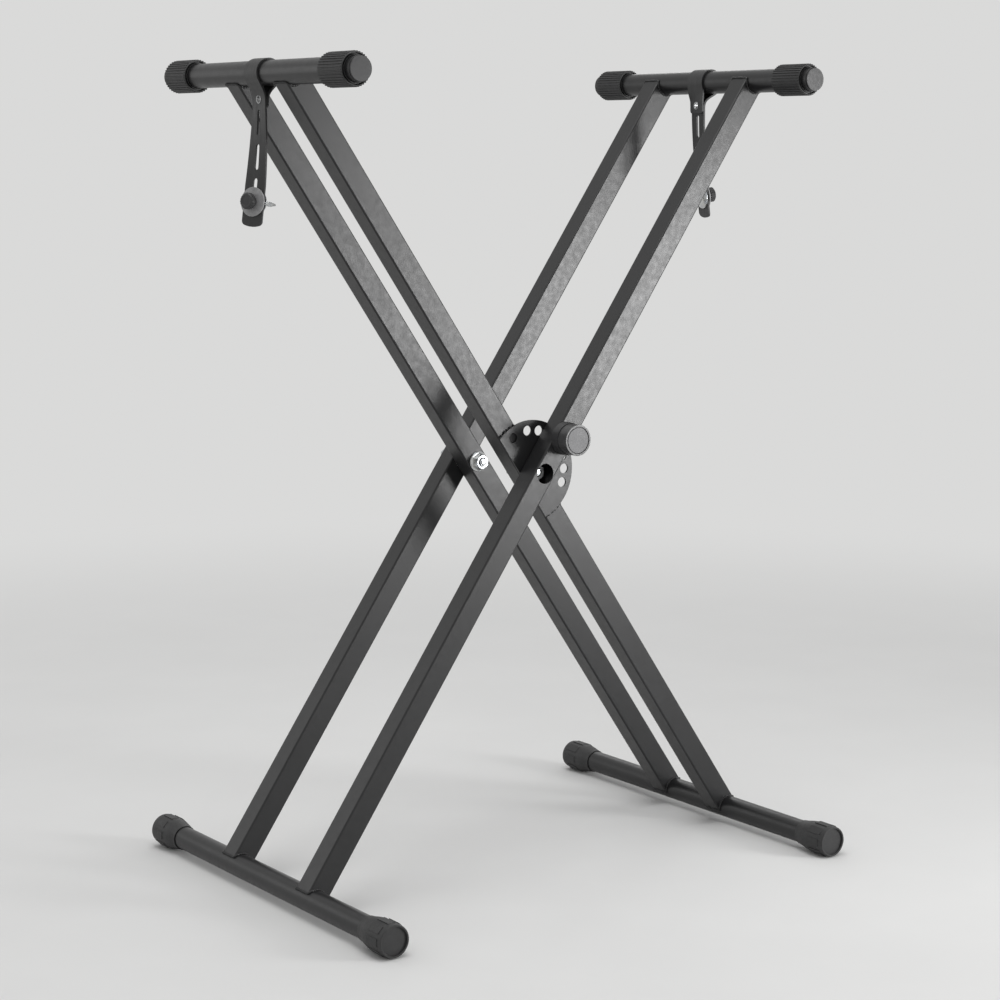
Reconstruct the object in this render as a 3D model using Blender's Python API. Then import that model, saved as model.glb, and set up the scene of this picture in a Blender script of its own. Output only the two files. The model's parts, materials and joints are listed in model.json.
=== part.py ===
"""Double x keyboard stand: two crossed tube frames on a common pivot, with a spring pull pin,
rubber sleeves, foot caps and two slotted straps. Metres, +Z up, standing on Z = 0, facing -Y."""
import math

import bmesh
import bpy
from mathutils import Matrix, Vector

# Clearance between pieces that touch
CLEAR = 0.0003

# Square legs
LEG_SIDE = 0.025
LEG_WALL = 0.0015
LEG_CORNER = 0.0015
LEG_CORNER_STEPS = 2
# A leg from the top bar's centre to the foot bar's centre, and how far above its middle it turns
LEG_LENGTH = 1.0076
LEG_PIVOT_RISE = 0.0012
LEG_TILT = math.radians(34.7)

# Depth order of the four legs
PLATE_THICK = 0.0020
SPACER_THICK = 0.0030
INNER_SPACE = 0.0712

# Round bars
BAR_R = 0.0125
BAR_WALL = 0.0015
TOP_BAR_HALF = 0.1822
FOOT_BAR_HALF = 0.2300
BAR_STEPS = 32

# Turn of a hole's first corner, so that no corner lies on a leg's middle line
HOLE_PHASE = 0.07

# Ribbed sleeves
SLEEVE_R = 0.0170
SLEEVE_RIB = 0.0009
SLEEVE_RIBS = 36
SLEEVE_TO_BAR_END = 0.0072
SLEEVE_LENGTH = 0.0435
SLEEVE_CHAMFER = 0.0006

# Top bar plugs
PLUG_FLANGE_R = 0.0121
PLUG_FLANGE = 0.0018
PLUG_SPIGOT = 0.0120
PLUG_FIT = 0.0003

# Foot caps
CAP_PAST_BAR = 0.0060
CAP_OVER_BAR = 0.0410
CAP_MOUTH_R = 0.0136
CAP_FLARE = 0.0180
CAP_SWELL_R = 0.0166
CAP_BODY_R = 0.0170
CAP_PAD_FLAT = 0.0175
CAP_PAD_HALF = 0.0046
CAP_PADS = 8
CAP_PAD_LENGTH = 0.0190
CAP_END_R = 0.0164
CAP_DISH_R = 0.0146
CAP_DISH = 0.0022
CAP_PAD_EDGE = math.radians(0.6)

# Lock plate
PLATE_R = 0.0548
PLATE_HOLE_RING = 0.0440
PLATE_HOLE_R = 0.0053
# Turns of the near frame, in degrees, at which the pin stands over a hole; the bars meet just before the last
PLATE_STOPS = (41.1, 21.7, 0.0, -18.6, -37.3, -55.9, -75.3, 67.2)
PLATE_STEPS = 72
PLATE_HOLE_STEPS = 16

# Pivot bolts
BOLT_R = 0.0050
BOLT_HEAD_FLATS = 0.0170
BOLT_HEAD = 0.0064
NUT_FLATS = 0.0160
NUT_HEIGHT = 0.0080
WASHER_R = 0.0100
WASHER_THICK = 0.0015
BOLT_PAST_NUT = 0.0018
BOLT_CHAMFER = 0.0008
HEXAGON_STEPS = 24
ACCESS_HOLE_R = 0.0108
FLANGE_NUT_R = 0.0110
FLANGE_NUT_RIM = 0.0016
FLANGE_NUT_FLATS = 0.0145
FLANGE_NUT_HEIGHT = 0.0090

# Pull pin
PIN_R = 0.0040
PIN_FIT = 0.0005
PIN_REST_GAP = 0.0004
PIN_SHOULDER_R = 0.0068
PIN_SHOULDER_THICK = 0.0020
PIN_SHOULDER_BACK = 0.0180
PIN_CHAMFER = 0.0008
PIN_NOSE_R = 0.0024
PIN_NOSE = 0.0028
FERRULE_R = 0.0060
FERRULE_OUT = 0.0020
FERRULE_IN = 0.0040
COLLAR_R = 0.0176
COLLAR_FRONT_R = 0.0173
COLLAR_DEPTH = 0.0105
COLLAR_FLOOR = 0.0020
KNOB_R = 0.0164
KNOB_FACE = 0.0245
KNOB_BACK = 0.0050
KNOB_EDGE = 0.0012
KNOB_BORE_DEPTH = 0.0180
KNOB_SLIDE_FIT = 0.0004
INSERT_R = 0.0139
INSERT_THICK = 0.0012
SPRING_WIRE = 0.0008
SPRING_R = 0.0056
SPRING_TURNS = 5
SPRING_SIDES = 5
SPRING_STEPS = 12

# Rubber straps
STRAP_THICK = 0.0020
STRAP_WIDTH = 0.0250
STRAP_PINCH = 0.0208
STRAP_TAIL_END = 0.0340
STRAP_LENGTH = 0.1510
STRAP_Y = -0.0020
STRAP_END_CORNER = 0.0035
STRAP_TWIST_FROM = 0.0360
STRAP_FLAT_FROM = 0.1105
STRAP_SLOTS = ((0.0360, 0.0615), (0.0695, 0.0950), (0.1030, 0.1295))
STRAP_SLOT_HALF = 0.0026
STRAP_ARC_STEPS = 22
STRAP_TAIL_STEPS = 12
STRAP_COLUMNS = 6
STRAP_LEAN_LEFT = math.radians(1.8)
STRAP_LEAN_RIGHT = math.radians(1.0)
# How far the bend throws a strap outwards by where it runs straight again
STRAP_BOW_LEFT = 0.003511
STRAP_BOW_RIGHT = 0.004799
STRAP_SHIFT_LEFT = 0.0030
STRAP_SHIFT_RIGHT = -0.0093
STRAP_TURN_LEFT = math.radians(0.0)
STRAP_TURN_RIGHT = math.radians(8.0)
STRAP_TWIST_LEFT = math.radians(21.5)
STRAP_TWIST_RIGHT = math.radians(6.5)
EYELET_Z = 0.0255
EYELET_R = 0.0037
EYELET_BORE_R = 0.0027
EYELET_RIM_R = 0.0045
EYELET_RIM = 0.0006
EYELET_STEPS = 24

# Thumb bolts on the straps
THUMB_Z = 0.1265
THUMB_R = 0.0024
THUMB_REACH = 0.0340
THUMB_POINT_R = 0.0012
THUMB_KNOB_R = 0.0083
THUMB_KNOB_LENGTH = 0.0100
THUMB_NECK_R = 0.0055
THUMB_NECK = 0.0030
THUMB_KNOB_RIDGES = 20
THUMB_KNOB_RIDGE = 0.0005
THUMB_KNOB_EDGE = 0.0010
THUMB_KNOB_CROWN = 0.0026
THUMB_WASHER_R = 0.0147
THUMB_WASHER = 0.0015
BACKING_R = 0.0142
BACKING_RIM = 0.0010
BACKING_SLOPE_R = 0.0122
BACKING_SLOPE = 0.0030
BACKING_FACE_R = 0.0085
BACKING_THICK = 0.0040
STRAP_NUT_FLATS = 0.0080
STRAP_NUT = 0.0040

# Places that follow from the sizes above
Y_FRONT = -0.5 * (4 * LEG_SIDE + PLATE_THICK + SPACER_THICK + 4 * CLEAR + INNER_SPACE)
Y_B_FRONT = Y_FRONT + LEG_SIDE / 2
Y_PLATE = Y_FRONT + LEG_SIDE + CLEAR
Y_A_FRONT = Y_PLATE + PLATE_THICK + CLEAR + LEG_SIDE / 2
Y_A_BACK = Y_A_FRONT + LEG_SIDE + INNER_SPACE
Y_SPACER = Y_A_BACK + LEG_SIDE / 2 + CLEAR
Y_B_BACK = Y_SPACER + SPACER_THICK + CLEAR + LEG_SIDE / 2
FOOT_Z = CAP_PAD_FLAT
CAP_END = FOOT_BAR_HALF + CAP_PAST_BAR
CAP_MOUTH = FOOT_BAR_HALF - CAP_OVER_BAR
CAP_SWELL = CAP_MOUTH + CAP_FLARE
CAP_PAD_END = FOOT_BAR_HALF
CAP_PAD_START = CAP_PAD_END - CAP_PAD_LENGTH
LEG_UP = LEG_LENGTH / 2 - LEG_PIVOT_RISE
LEG_DOWN = LEG_LENGTH / 2 + LEG_PIVOT_RISE
PIVOT_Z = FOOT_Z + LEG_DOWN * math.cos(LEG_TILT)
TOP_Z = PIVOT_Z + LEG_UP * math.cos(LEG_TILT)
TOP_X = LEG_UP * math.sin(LEG_TILT)
FOOT_X = LEG_DOWN * math.sin(LEG_TILT)
PIN_X = PLATE_HOLE_RING * math.sin(LEG_TILT)
PIN_Z = PIVOT_Z + PLATE_HOLE_RING * math.cos(LEG_TILT)

# How each strap hangs: shift, lean, bow, turn and twist
HANG_LEFT = (STRAP_SHIFT_LEFT, STRAP_LEAN_LEFT, STRAP_BOW_LEFT, STRAP_TURN_LEFT, STRAP_TWIST_LEFT)
HANG_RIGHT = (STRAP_SHIFT_RIGHT, STRAP_LEAN_RIGHT, STRAP_BOW_RIGHT, STRAP_TURN_RIGHT, STRAP_TWIST_RIGHT)


def clear_scene():
    """Removes the objects that a new file starts with."""
    for item in list(bpy.data.objects):
        bpy.data.objects.remove(item, do_unlink=True)


def material(name, colour, roughness, metallic):
    """A Principled material of one colour."""
    made = bpy.data.materials.new(name)
    made.use_nodes = True
    shader = made.node_tree.nodes["Principled BSDF"]
    shader.inputs["Base Color"].default_value = (*colour, 1.0)
    shader.inputs["Roughness"].default_value = roughness
    shader.inputs["Metallic"].default_value = metallic
    return made


def empty(name, place):
    """A marker on a joint's axis that the moving pieces hang from."""
    marker = bpy.data.objects.new(name, None)
    marker.location = place
    marker.empty_display_size = LEG_SIDE
    bpy.context.collection.objects.link(marker)
    return marker


def add(name, work, surface, parent, matrix, smooth_angle=None):
    """Makes an object of a bmesh, in its place, under its parent."""
    bmesh.ops.recalc_face_normals(work, faces=work.faces)
    mesh = bpy.data.meshes.new(name)
    work.to_mesh(mesh)
    work.free()
    mesh.materials.append(surface)
    if smooth_angle is not None:
        mesh.shade_smooth()
        mesh.set_sharp_from_angle(angle=smooth_angle)
    made = bpy.data.objects.new(name, mesh)
    bpy.context.collection.objects.link(made)
    made.parent = parent
    made.matrix_parent_inverse = Matrix.Translation(parent.location).inverted()
    made.matrix_basis = matrix
    return made


def cut(target, cutter_bmesh, matrix, label):
    """Cuts a shape out of an object with a hidden cutter."""
    bmesh.ops.recalc_face_normals(cutter_bmesh, faces=cutter_bmesh.faces)
    mesh = bpy.data.meshes.new(label)
    cutter_bmesh.to_mesh(mesh)
    cutter_bmesh.free()
    cutter = bpy.data.objects.new(label, mesh)
    bpy.context.collection.objects.link(cutter)
    cutter.matrix_basis = matrix
    cutter.hide_render = True
    cutter.display_type = "WIRE"
    modifier = target.modifiers.new(label, "BOOLEAN")
    modifier.operation = "DIFFERENCE"
    modifier.solver = "EXACT"
    modifier.object = cutter


def turned(profile, steps=32, phase=0.0):
    """A solid turned round local Z from (radius, height) points, its ends on the axis or closed up."""
    work = bmesh.new()
    rings = []
    for radius, height in profile:
        if radius < 1e-6:
            rings.append([work.verts.new((0.0, 0.0, height))])
        else:
            rings.append([
                work.verts.new((
                    radius * math.cos(phase + 2 * math.pi * i / steps),
                    radius * math.sin(phase + 2 * math.pi * i / steps),
                    height))
                for i in range(steps)])
    closed = len(rings[0]) > 1
    pairs = len(rings) if closed else len(rings) - 1
    for j in range(pairs):
        low, high = rings[j], rings[(j + 1) % len(rings)]
        for i in range(steps):
            k = (i + 1) % steps
            corners = [low[i % len(low)], low[k % len(low)], high[k % len(high)], high[i % len(high)]]
            unique = []
            for corner in corners:
                if corner not in unique:
                    unique.append(corner)
            work.faces.new(unique)
    return work


def cylinder(radius, low, high, steps=32, phase=0.0):
    """A plain round rod along local Z."""
    return turned([(0.0, low), (radius, low), (radius, high), (0.0, high)], steps, phase)


def round_row(radius):
    """A row of a shaped solid that is a circle."""
    return lambda step, angle: radius


def ribbed_row(radius, rib):
    """A row of a shaped solid whose every second point lies deeper."""
    return lambda step, angle: radius - rib * (step % 2)


def hexagon_row(flats):
    """A row of a shaped solid that is a hexagon of this width across its flats."""
    sixth = math.pi / 3

    def reach(step, angle):
        sector = (angle + sixth / 2) % sixth - sixth / 2
        return flats / 2 / math.cos(sixth / 2 - abs(sector))

    return reach


def shaped(rows, steps, closed):
    """A solid round local Z from (row, height) pairs. A closed one runs from its last row back to its
    first, and another has a flat face at each end."""
    work = bmesh.new()
    rings = []
    for reach, height in rows:
        ring = []
        for i in range(steps):
            angle = 2 * math.pi * i / steps
            radius = reach(i, angle)
            ring.append(work.verts.new((radius * math.cos(angle), radius * math.sin(angle), height)))
        rings.append(ring)
    pairs = list(zip(rings, rings[1:]))
    if closed:
        pairs.append((rings[-1], rings[0]))
    else:
        work.faces.new(rings[0])
        work.faces.new(rings[-1])
    for low, high in pairs:
        for i in range(steps):
            k = (i + 1) % steps
            work.faces.new((low[i], low[k], high[k], high[i]))
    return work


def along_y(x, y, z):
    """Local Z becomes +Y."""
    return Matrix.Translation((x, y, z)) @ Matrix.Rotation(-math.pi / 2, 4, "X")


def rounded_square(side, corner, steps):
    """Corner points of a square with rounded corners."""
    half = side / 2 - corner
    points = []
    for cx, cy, start in ((half, half, 0.0), (-half, half, 90.0), (-half, -half, 180.0), (half, -half, 270.0)):
        for i in range(steps + 1):
            angle = math.radians(start + 90.0 * i / steps)
            points.append((cx + corner * math.cos(angle), cy + corner * math.sin(angle)))
    return points


def tube_ring(low, high):
    """A hollow square tube along local Z."""
    work = bmesh.new()
    outer = rounded_square(LEG_SIDE, LEG_CORNER, LEG_CORNER_STEPS)
    inner = rounded_square(LEG_SIDE - 2 * LEG_WALL, LEG_WALL / 3, LEG_CORNER_STEPS)
    rings = []
    for points, height in ((outer, low), (outer, high), (inner, high), (inner, low)):
        rings.append([work.verts.new((x, y, height)) for x, y in points])
    count = len(outer)
    for j in range(4):
        for i in range(count):
            k = (i + 1) % count
            work.faces.new((rings[j][i], rings[j][k], rings[(j + 1) % 4][k], rings[(j + 1) % 4][i]))
    return work


def leg(name, y, side, surface, parent, holes):
    """One leg, its ends shaped to the bars, with its holes as (along, radius, low, high) in depth."""
    tilt = Matrix.Rotation(side * LEG_TILT, 4, "Y")
    frame = Matrix.Translation((0.0, y, PIVOT_Z)) @ tilt
    made = add(name, tube_ring(-LEG_DOWN, LEG_UP), surface, parent, frame, math.radians(40))
    reach = LEG_SIDE
    for label, height in (("top", LEG_UP), ("foot", -LEG_DOWN)):
        saddle = cylinder(BAR_R + CLEAR, -reach, reach, 48, HOLE_PHASE)
        cut(made, saddle, frame @ along_y(0.0, 0.0, height), f"{name}_{label}_saddle")
    for count, (along, radius, low, high) in enumerate(holes):
        hole = cylinder(radius, low, high, 32, HOLE_PHASE)
        cut(made, hole, frame @ along_y(0.0, 0.0, along), f"{name}_hole_{count}")
    return made


def bar(name, x, z, half, surface, parent):
    """A round tube bar along Y."""
    inner = BAR_R - BAR_WALL
    work = turned([(BAR_R, -half), (BAR_R, half), (inner, half), (inner, -half)], BAR_STEPS)
    return add(name, work, surface, parent, along_y(x, 0.0, z), math.radians(40))


def facing(x, z, way):
    """Local Z runs outwards along the bar: way -1 is the near end."""
    turn = Matrix.Rotation(math.pi / 2 if way < 0 else -math.pi / 2, 4, "X")
    return Matrix.Translation((x, 0.0, z)) @ turn


def sleeve(name, x, z, way, surface, parent):
    """A ribbed sleeve pushed over the bar's end."""
    bore = round_row(BAR_R + CLEAR)
    shoulder = round_row(SLEEVE_R - SLEEVE_RIB - SLEEVE_CHAMFER)
    ribs = ribbed_row(SLEEVE_R, SLEEVE_RIB)
    high = TOP_BAR_HALF - SLEEVE_TO_BAR_END
    low = high - SLEEVE_LENGTH
    work = shaped((
        (bore, low), (shoulder, low), (ribs, low + SLEEVE_CHAMFER),
        (ribs, high - SLEEVE_CHAMFER), (shoulder, high), (bore, high)), SLEEVE_RIBS * 2, True)
    return add(name, work, surface, parent, facing(x, z, way))


def bar_plug(name, x, z, way, surface, parent):
    """A push-in plug with a round flange."""
    spigot = BAR_R - BAR_WALL - PLUG_FIT
    seat = TOP_BAR_HALF + CLEAR
    face = seat + PLUG_FLANGE - CLEAR
    chamfer = PLUG_FLANGE / 4
    work = turned([
        (0.0, seat - PLUG_SPIGOT), (spigot, seat - PLUG_SPIGOT), (spigot, seat),
        (PLUG_FLANGE_R - chamfer, seat), (PLUG_FLANGE_R, seat + chamfer),
        (PLUG_FLANGE_R, face - chamfer), (PLUG_FLANGE_R - chamfer, face), (0.0, face)], 32)
    return add(name, work, surface, parent, facing(x, z, way), math.radians(40))


def foot_cap(name, x, z, way, surface, parent):
    """A flared cap over the foot bar's end, with flat pads round its widest part and a dished end."""
    bore = BAR_R + CLEAR
    floor = FOOT_BAR_HALF + CLEAR
    half_angle = math.atan(CAP_PAD_HALF / CAP_PAD_FLAT)
    pad_corner = CAP_PAD_FLAT / math.cos(half_angle)
    columns = []
    for pad in range(CAP_PADS):
        middle = 2 * math.pi * pad / CAP_PADS
        columns += [
            (middle - half_angle - CAP_PAD_EDGE, None), (middle - half_angle, pad_corner),
            (middle, CAP_PAD_FLAT),
            (middle + half_angle, pad_corner), (middle + half_angle + CAP_PAD_EDGE, None)]
    rows = (
        (0.0, False, floor),
        (bore, False, floor),
        (bore, False, CAP_MOUTH),
        (CAP_MOUTH_R, False, CAP_MOUTH),
        (CAP_SWELL_R, False, CAP_SWELL),
        (CAP_BODY_R, False, CAP_PAD_START),
        (CAP_BODY_R, True, CAP_PAD_START + CLEAR),
        (CAP_BODY_R, True, CAP_PAD_END - CLEAR),
        (CAP_BODY_R, False, CAP_PAD_END),
        (CAP_END_R, False, CAP_END),
        (CAP_DISH_R, False, CAP_END),
        (CAP_DISH_R, False, CAP_END - CAP_DISH),
        (0.0, False, CAP_END - CAP_DISH),
    )
    work = bmesh.new()
    rings = []
    for plain, padded, height in rows:
        if plain == 0.0:
            rings.append([work.verts.new((0.0, 0.0, height))])
            continue
        ring = []
        for angle, on_pad in columns:
            reach = on_pad if padded and on_pad else plain
            ring.append(work.verts.new((reach * math.cos(angle), reach * math.sin(angle), height)))
        rings.append(ring)
    count = len(columns)
    for low, high in zip(rings, rings[1:]):
        for i in range(count):
            k = (i + 1) % count
            corners = [low[i % len(low)], low[k % len(low)], high[k % len(high)], high[i % len(high)]]
            unique = []
            for corner in corners:
                if corner not in unique:
                    unique.append(corner)
            work.faces.new(unique)
    return add(name, work, surface, parent, facing(x, z, way))


def lock_plate(surface, parent):
    """The plate with the lock holes, trimmed along the near leg's outer edge."""
    profile = [(0.0, 0.0), (PLATE_R, 0.0), (PLATE_R, PLATE_THICK), (0.0, PLATE_THICK)]
    plate = add("lock_disc", turned(profile, PLATE_STEPS), surface, parent,
                along_y(0.0, Y_PLATE, PIVOT_Z), math.radians(40))
    reach = PLATE_THICK * 3
    places = [(0.0, 0.0, BOLT_R + CLEAR)]
    for stop in PLATE_STOPS:
        angle = LEG_TILT - math.radians(stop)
        places.append((PLATE_HOLE_RING * math.sin(angle), PLATE_HOLE_RING * math.cos(angle), PLATE_HOLE_R))
    for count, (x, z, radius) in enumerate(places):
        cut(plate, cylinder(radius, -reach, reach, PLATE_HOLE_STEPS, HOLE_PHASE),
            along_y(x, Y_PLATE, PIVOT_Z + z), f"plate_hole_{count}")
    trim = bmesh.new()
    bmesh.ops.create_cube(trim, size=1.0)
    bmesh.ops.scale(trim, vec=(PLATE_R, reach * 2, PLATE_R * 3), verts=trim.verts)
    bmesh.ops.translate(trim, vec=(-LEG_SIDE / 2 - PLATE_R / 2, 0.0, 0.0), verts=trim.verts)
    frame = Matrix.Translation((0.0, Y_PLATE, PIVOT_Z)) @ Matrix.Rotation(-LEG_TILT, 4, "Y")
    cut(plate, trim, frame, "plate_trim")
    return plate


def hex_nut(flats, low, high, bore):
    """A bored hexagon along local Z."""
    side = hexagon_row(flats)
    inside = round_row(bore)
    return shaped(((side, low), (side, high), (inside, high), (inside, low)), HEXAGON_STEPS, True)


def headed_bolt(shank):
    """A hexagon-headed bolt, its head below local zero and its shank above."""
    head = hexagon_row(BOLT_HEAD_FLATS)
    return shaped((
        (head, -BOLT_HEAD), (head, 0.0), (round_row(BOLT_R), 0.0), (round_row(BOLT_R), shank - BOLT_CHAMFER),
        (round_row(BOLT_R - BOLT_CHAMFER), shank)), HEXAGON_STEPS, False)


def ring_disc(radius, bore, low, high, steps=32):
    """A flat washer or bush along local Z."""
    return turned([(bore, low), (radius, low), (radius, high), (bore, high)], steps)


def pivots(steel, parent):
    """The two pivot bolts with their nuts, washer and spacer."""
    back_face = Y_A_FRONT + LEG_SIDE / 2 + CLEAR
    inner_wall = Y_FRONT + LEG_SIDE - LEG_WALL
    washer_high = inner_wall - CLEAR
    nut_high = washer_high - WASHER_THICK - CLEAR
    forward = Matrix.Rotation(math.pi / 2, 4, "X")
    shank = back_face - (nut_high - NUT_HEIGHT - BOLT_PAST_NUT)
    add("pivot_bolt_front", headed_bolt(shank), steel, parent,
        Matrix.Translation((0.0, back_face, PIVOT_Z)) @ forward, math.radians(30))
    add("pivot_washer_front", ring_disc(WASHER_R, BOLT_R + CLEAR, 0.0, WASHER_THICK), steel, parent,
        Matrix.Translation((0.0, washer_high, PIVOT_Z)) @ forward, math.radians(40))
    add("pivot_nut_front", hex_nut(NUT_FLATS, 0.0, NUT_HEIGHT, BOLT_R + CLEAR), steel, parent,
        Matrix.Translation((0.0, nut_high, PIVOT_Z)) @ forward, math.radians(30))
    rear_face = Y_B_BACK + LEG_SIDE / 2 + CLEAR
    nut_face = Y_A_BACK - LEG_SIDE / 2 - CLEAR
    shank = rear_face - (nut_face - FLANGE_NUT_HEIGHT - BOLT_PAST_NUT)
    add("pivot_bolt_back", headed_bolt(shank), steel, parent,
        Matrix.Translation((0.0, rear_face, PIVOT_Z)) @ forward, math.radians(30))
    add("pivot_spacer_back", ring_disc(FLANGE_NUT_R, BOLT_R + CLEAR, 0.0, SPACER_THICK), steel, parent,
        along_y(0.0, Y_SPACER, PIVOT_Z), math.radians(40))
    flange = round_row(FLANGE_NUT_R)
    side = hexagon_row(FLANGE_NUT_FLATS)
    inside = round_row(BOLT_R + CLEAR)
    work = shaped((
        (flange, 0.0), (flange, FLANGE_NUT_RIM), (side, FLANGE_NUT_RIM), (side, FLANGE_NUT_HEIGHT),
        (inside, FLANGE_NUT_HEIGHT), (inside, 0.0)), HEXAGON_STEPS, True)
    add("pivot_nut_back", work, steel, parent,
        Matrix.Translation((0.0, nut_face, PIVOT_Z)) @ forward, math.radians(30))


def spring_mesh(length):
    """An open coil of this length along local Z."""
    work = bmesh.new()
    pitch = (length - SPRING_WIRE) / SPRING_TURNS
    total = SPRING_TURNS * SPRING_STEPS
    rings = []
    for i in range(total + 1):
        angle = 2 * math.pi * i / SPRING_STEPS
        height = SPRING_WIRE / 2 + pitch * i / SPRING_STEPS
        outward = Vector((math.cos(angle), math.sin(angle), 0.0))
        ring = []
        for j in range(SPRING_SIDES):
            turn = 2 * math.pi * j / SPRING_SIDES
            wire = SPRING_WIRE / 2
            point = outward * (SPRING_R + wire * math.cos(turn))
            ring.append(work.verts.new((point.x, point.y, height + wire * math.sin(turn))))
        rings.append(ring)
    for low, high in zip(rings, rings[1:]):
        for j in range(SPRING_SIDES):
            k = (j + 1) % SPRING_SIDES
            work.faces.new((low[j], low[k], high[k], high[j]))
    work.faces.new(rings[0])
    work.faces.new(rings[-1])
    return work


def pull_pin(black, gloss, pale, steel, frame_b, slider):
    """The fixed collar, bush and spring, and the pin with its knob."""
    # Heights here run from the leg's front face towards the plate
    place = along_y(PIN_X, Y_FRONT, PIN_Z)
    back = -CLEAR
    bore = KNOB_R + KNOB_SLIDE_FIT
    collar = turned([
        (FERRULE_R + CLEAR, back), (COLLAR_R, back), (COLLAR_FRONT_R + CLEAR, -COLLAR_DEPTH),
        (bore, -COLLAR_DEPTH), (bore, back - COLLAR_FLOOR), (FERRULE_R + CLEAR, back - COLLAR_FLOOR)], 48)
    add("pin_housing", collar, black, frame_b, place, math.radians(40))
    add("pin_ferrule", ring_disc(FERRULE_R, PIN_R + PIN_FIT, -FERRULE_OUT, FERRULE_IN, 24),
        steel, frame_b, place, math.radians(40))
    tip = LEG_SIDE + CLEAR - PIN_REST_GAP
    shoulder = PIN_SHOULDER_BACK - PIN_SHOULDER_THICK
    add("pin_spring", spring_mesh(shoulder - FERRULE_IN - 2 * CLEAR), steel, frame_b,
        along_y(PIN_X, Y_FRONT + FERRULE_IN + CLEAR, PIN_Z), math.radians(60))
    pin = turned([
        (0.0, -KNOB_BORE_DEPTH), (PIN_R, -KNOB_BORE_DEPTH), (PIN_R, shoulder), (PIN_SHOULDER_R, shoulder),
        (PIN_SHOULDER_R, PIN_SHOULDER_BACK), (PIN_R, PIN_SHOULDER_BACK),
        (PIN_R, tip - PIN_NOSE - (PIN_R - PIN_NOSE_R)), (PIN_NOSE_R, tip - PIN_NOSE),
        (PIN_NOSE_R, tip - PIN_CHAMFER), (PIN_NOSE_R - PIN_CHAMFER, tip), (0.0, tip)], 24)
    add("lock_pin", pin, steel, slider, place, math.radians(30))
    floor = -KNOB_FACE + INSERT_THICK + CLEAR
    knob = turned([
        (PIN_R + CLEAR, -KNOB_BACK), (KNOB_R - KNOB_EDGE / 2, -KNOB_BACK), (KNOB_R, -KNOB_BACK - KNOB_EDGE / 2),
        (KNOB_R, -KNOB_FACE + KNOB_EDGE), (KNOB_R - KNOB_EDGE, -KNOB_FACE), (INSERT_R + CLEAR, -KNOB_FACE),
        (INSERT_R + CLEAR, floor), (PIN_R + CLEAR, floor)], 48)
    add("pull_knob", knob, gloss, slider, place, math.radians(40))
    insert = cylinder(INSERT_R, -KNOB_FACE, -KNOB_FACE + INSERT_THICK, 48)
    add("knob_insert", insert, pale, slider, place, math.radians(40))


def strap_outward(hang, down):
    """How far out the long end's middle line lies at a depth below the bar."""
    shift, lean, bow, turn, twist = hang
    past = max(0.0, down - STRAP_TAIL_END)
    bent = min(past, STRAP_FLAT_FROM - STRAP_TAIL_END)
    bend = bow / (STRAP_FLAT_FROM - STRAP_TAIL_END) ** 2
    return shift + STRAP_THICK / 2 + CLEAR / 2 + past * math.tan(lean) + bend * bent * (2 * past - bent)


def strap_slope(hang, down):
    """How fast the long end runs outwards at a depth below the bar."""
    shift, lean, bow, turn, twist = hang
    bent = min(max(0.0, down - STRAP_TAIL_END), STRAP_FLAT_FROM - STRAP_TAIL_END)
    bend = bow / (STRAP_FLAT_FROM - STRAP_TAIL_END) ** 2
    return math.tan(lean) + 2 * bend * bent


def strap_twist(hang, down):
    """Turn of the band about the vertical at a depth below the bar."""
    shift, lean, bow, turn, twist = hang
    hung = min(1.0, max(0.0, (down - BAR_R) / (STRAP_PINCH - BAR_R)))
    free = min(1.0, max(0.0, (down - STRAP_TWIST_FROM) / (STRAP_FLAT_FROM - STRAP_TWIST_FROM)))
    return turn * hung + twist * free


def strap_path(hang):
    """Centre line of the band as (outward, down) points: short end, round the bar, long end."""
    shift = hang[0]
    layer = STRAP_THICK / 2 + CLEAR / 2
    radius = BAR_R + CLEAR + STRAP_THICK / 2
    # Angles, from outwards to downwards, at which the two layers leave the bar
    leaving = []
    for sign in (-1, 1):
        foot = (shift + sign * layer, STRAP_PINCH)
        spread = math.acos(radius / math.hypot(*foot))
        leaving.append((math.atan2(foot[1], foot[0]) - sign * spread) % (2 * math.pi))
    sweep = 2 * math.pi - leaving[0] + leaving[1]
    points = [(shift - layer, STRAP_TAIL_END), (shift - layer, STRAP_PINCH)]
    for i in range(STRAP_ARC_STEPS + 1):
        angle = leaving[0] + sweep * i / STRAP_ARC_STEPS
        points.append((radius * math.cos(angle), radius * math.sin(angle)))
    points += [(shift + layer, STRAP_PINCH), (shift + layer, STRAP_TAIL_END)]
    for i in range(1, STRAP_TAIL_STEPS + 1):
        down = STRAP_TAIL_END + (STRAP_FLAT_FROM - STRAP_TAIL_END) * i / STRAP_TAIL_STEPS
        points.append((strap_outward(hang, down), down))
    points.append((strap_outward(hang, STRAP_LENGTH), STRAP_LENGTH))
    return points


def strap_place(side, hang, down):
    """Middle of the long end's band at a depth below the bar, in world axes."""
    return Vector((side * (TOP_X + strap_outward(hang, down)), STRAP_Y, TOP_Z - down))


def strap_frame(side, hang, down):
    """Local X across the strap's width, Y along it downwards, Z out of its outer face."""
    angle = strap_twist(hang, down)
    normal = Vector((side * math.cos(angle), -math.sin(angle), 0.0))
    along = Vector((side * strap_slope(hang, down), 0.0, -1.0)).normalized()
    width = along.cross(normal).normalized()
    normal = width.cross(along).normalized()
    frame = Matrix((width, along, normal)).transposed().to_4x4()
    return Matrix.Translation(strap_place(side, hang, down)) @ frame


def eyelet_frame(side, hang):
    """Local Z through both layers of the band where they are pinched together."""
    place = Matrix.Translation((side * (TOP_X + hang[0]), STRAP_Y, TOP_Z - EYELET_Z))
    turn = Matrix.Rotation(side * -strap_twist(hang, EYELET_Z), 4, "Z")
    return place @ turn @ Matrix.Rotation(math.pi / 2, 4, "Y")


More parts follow.
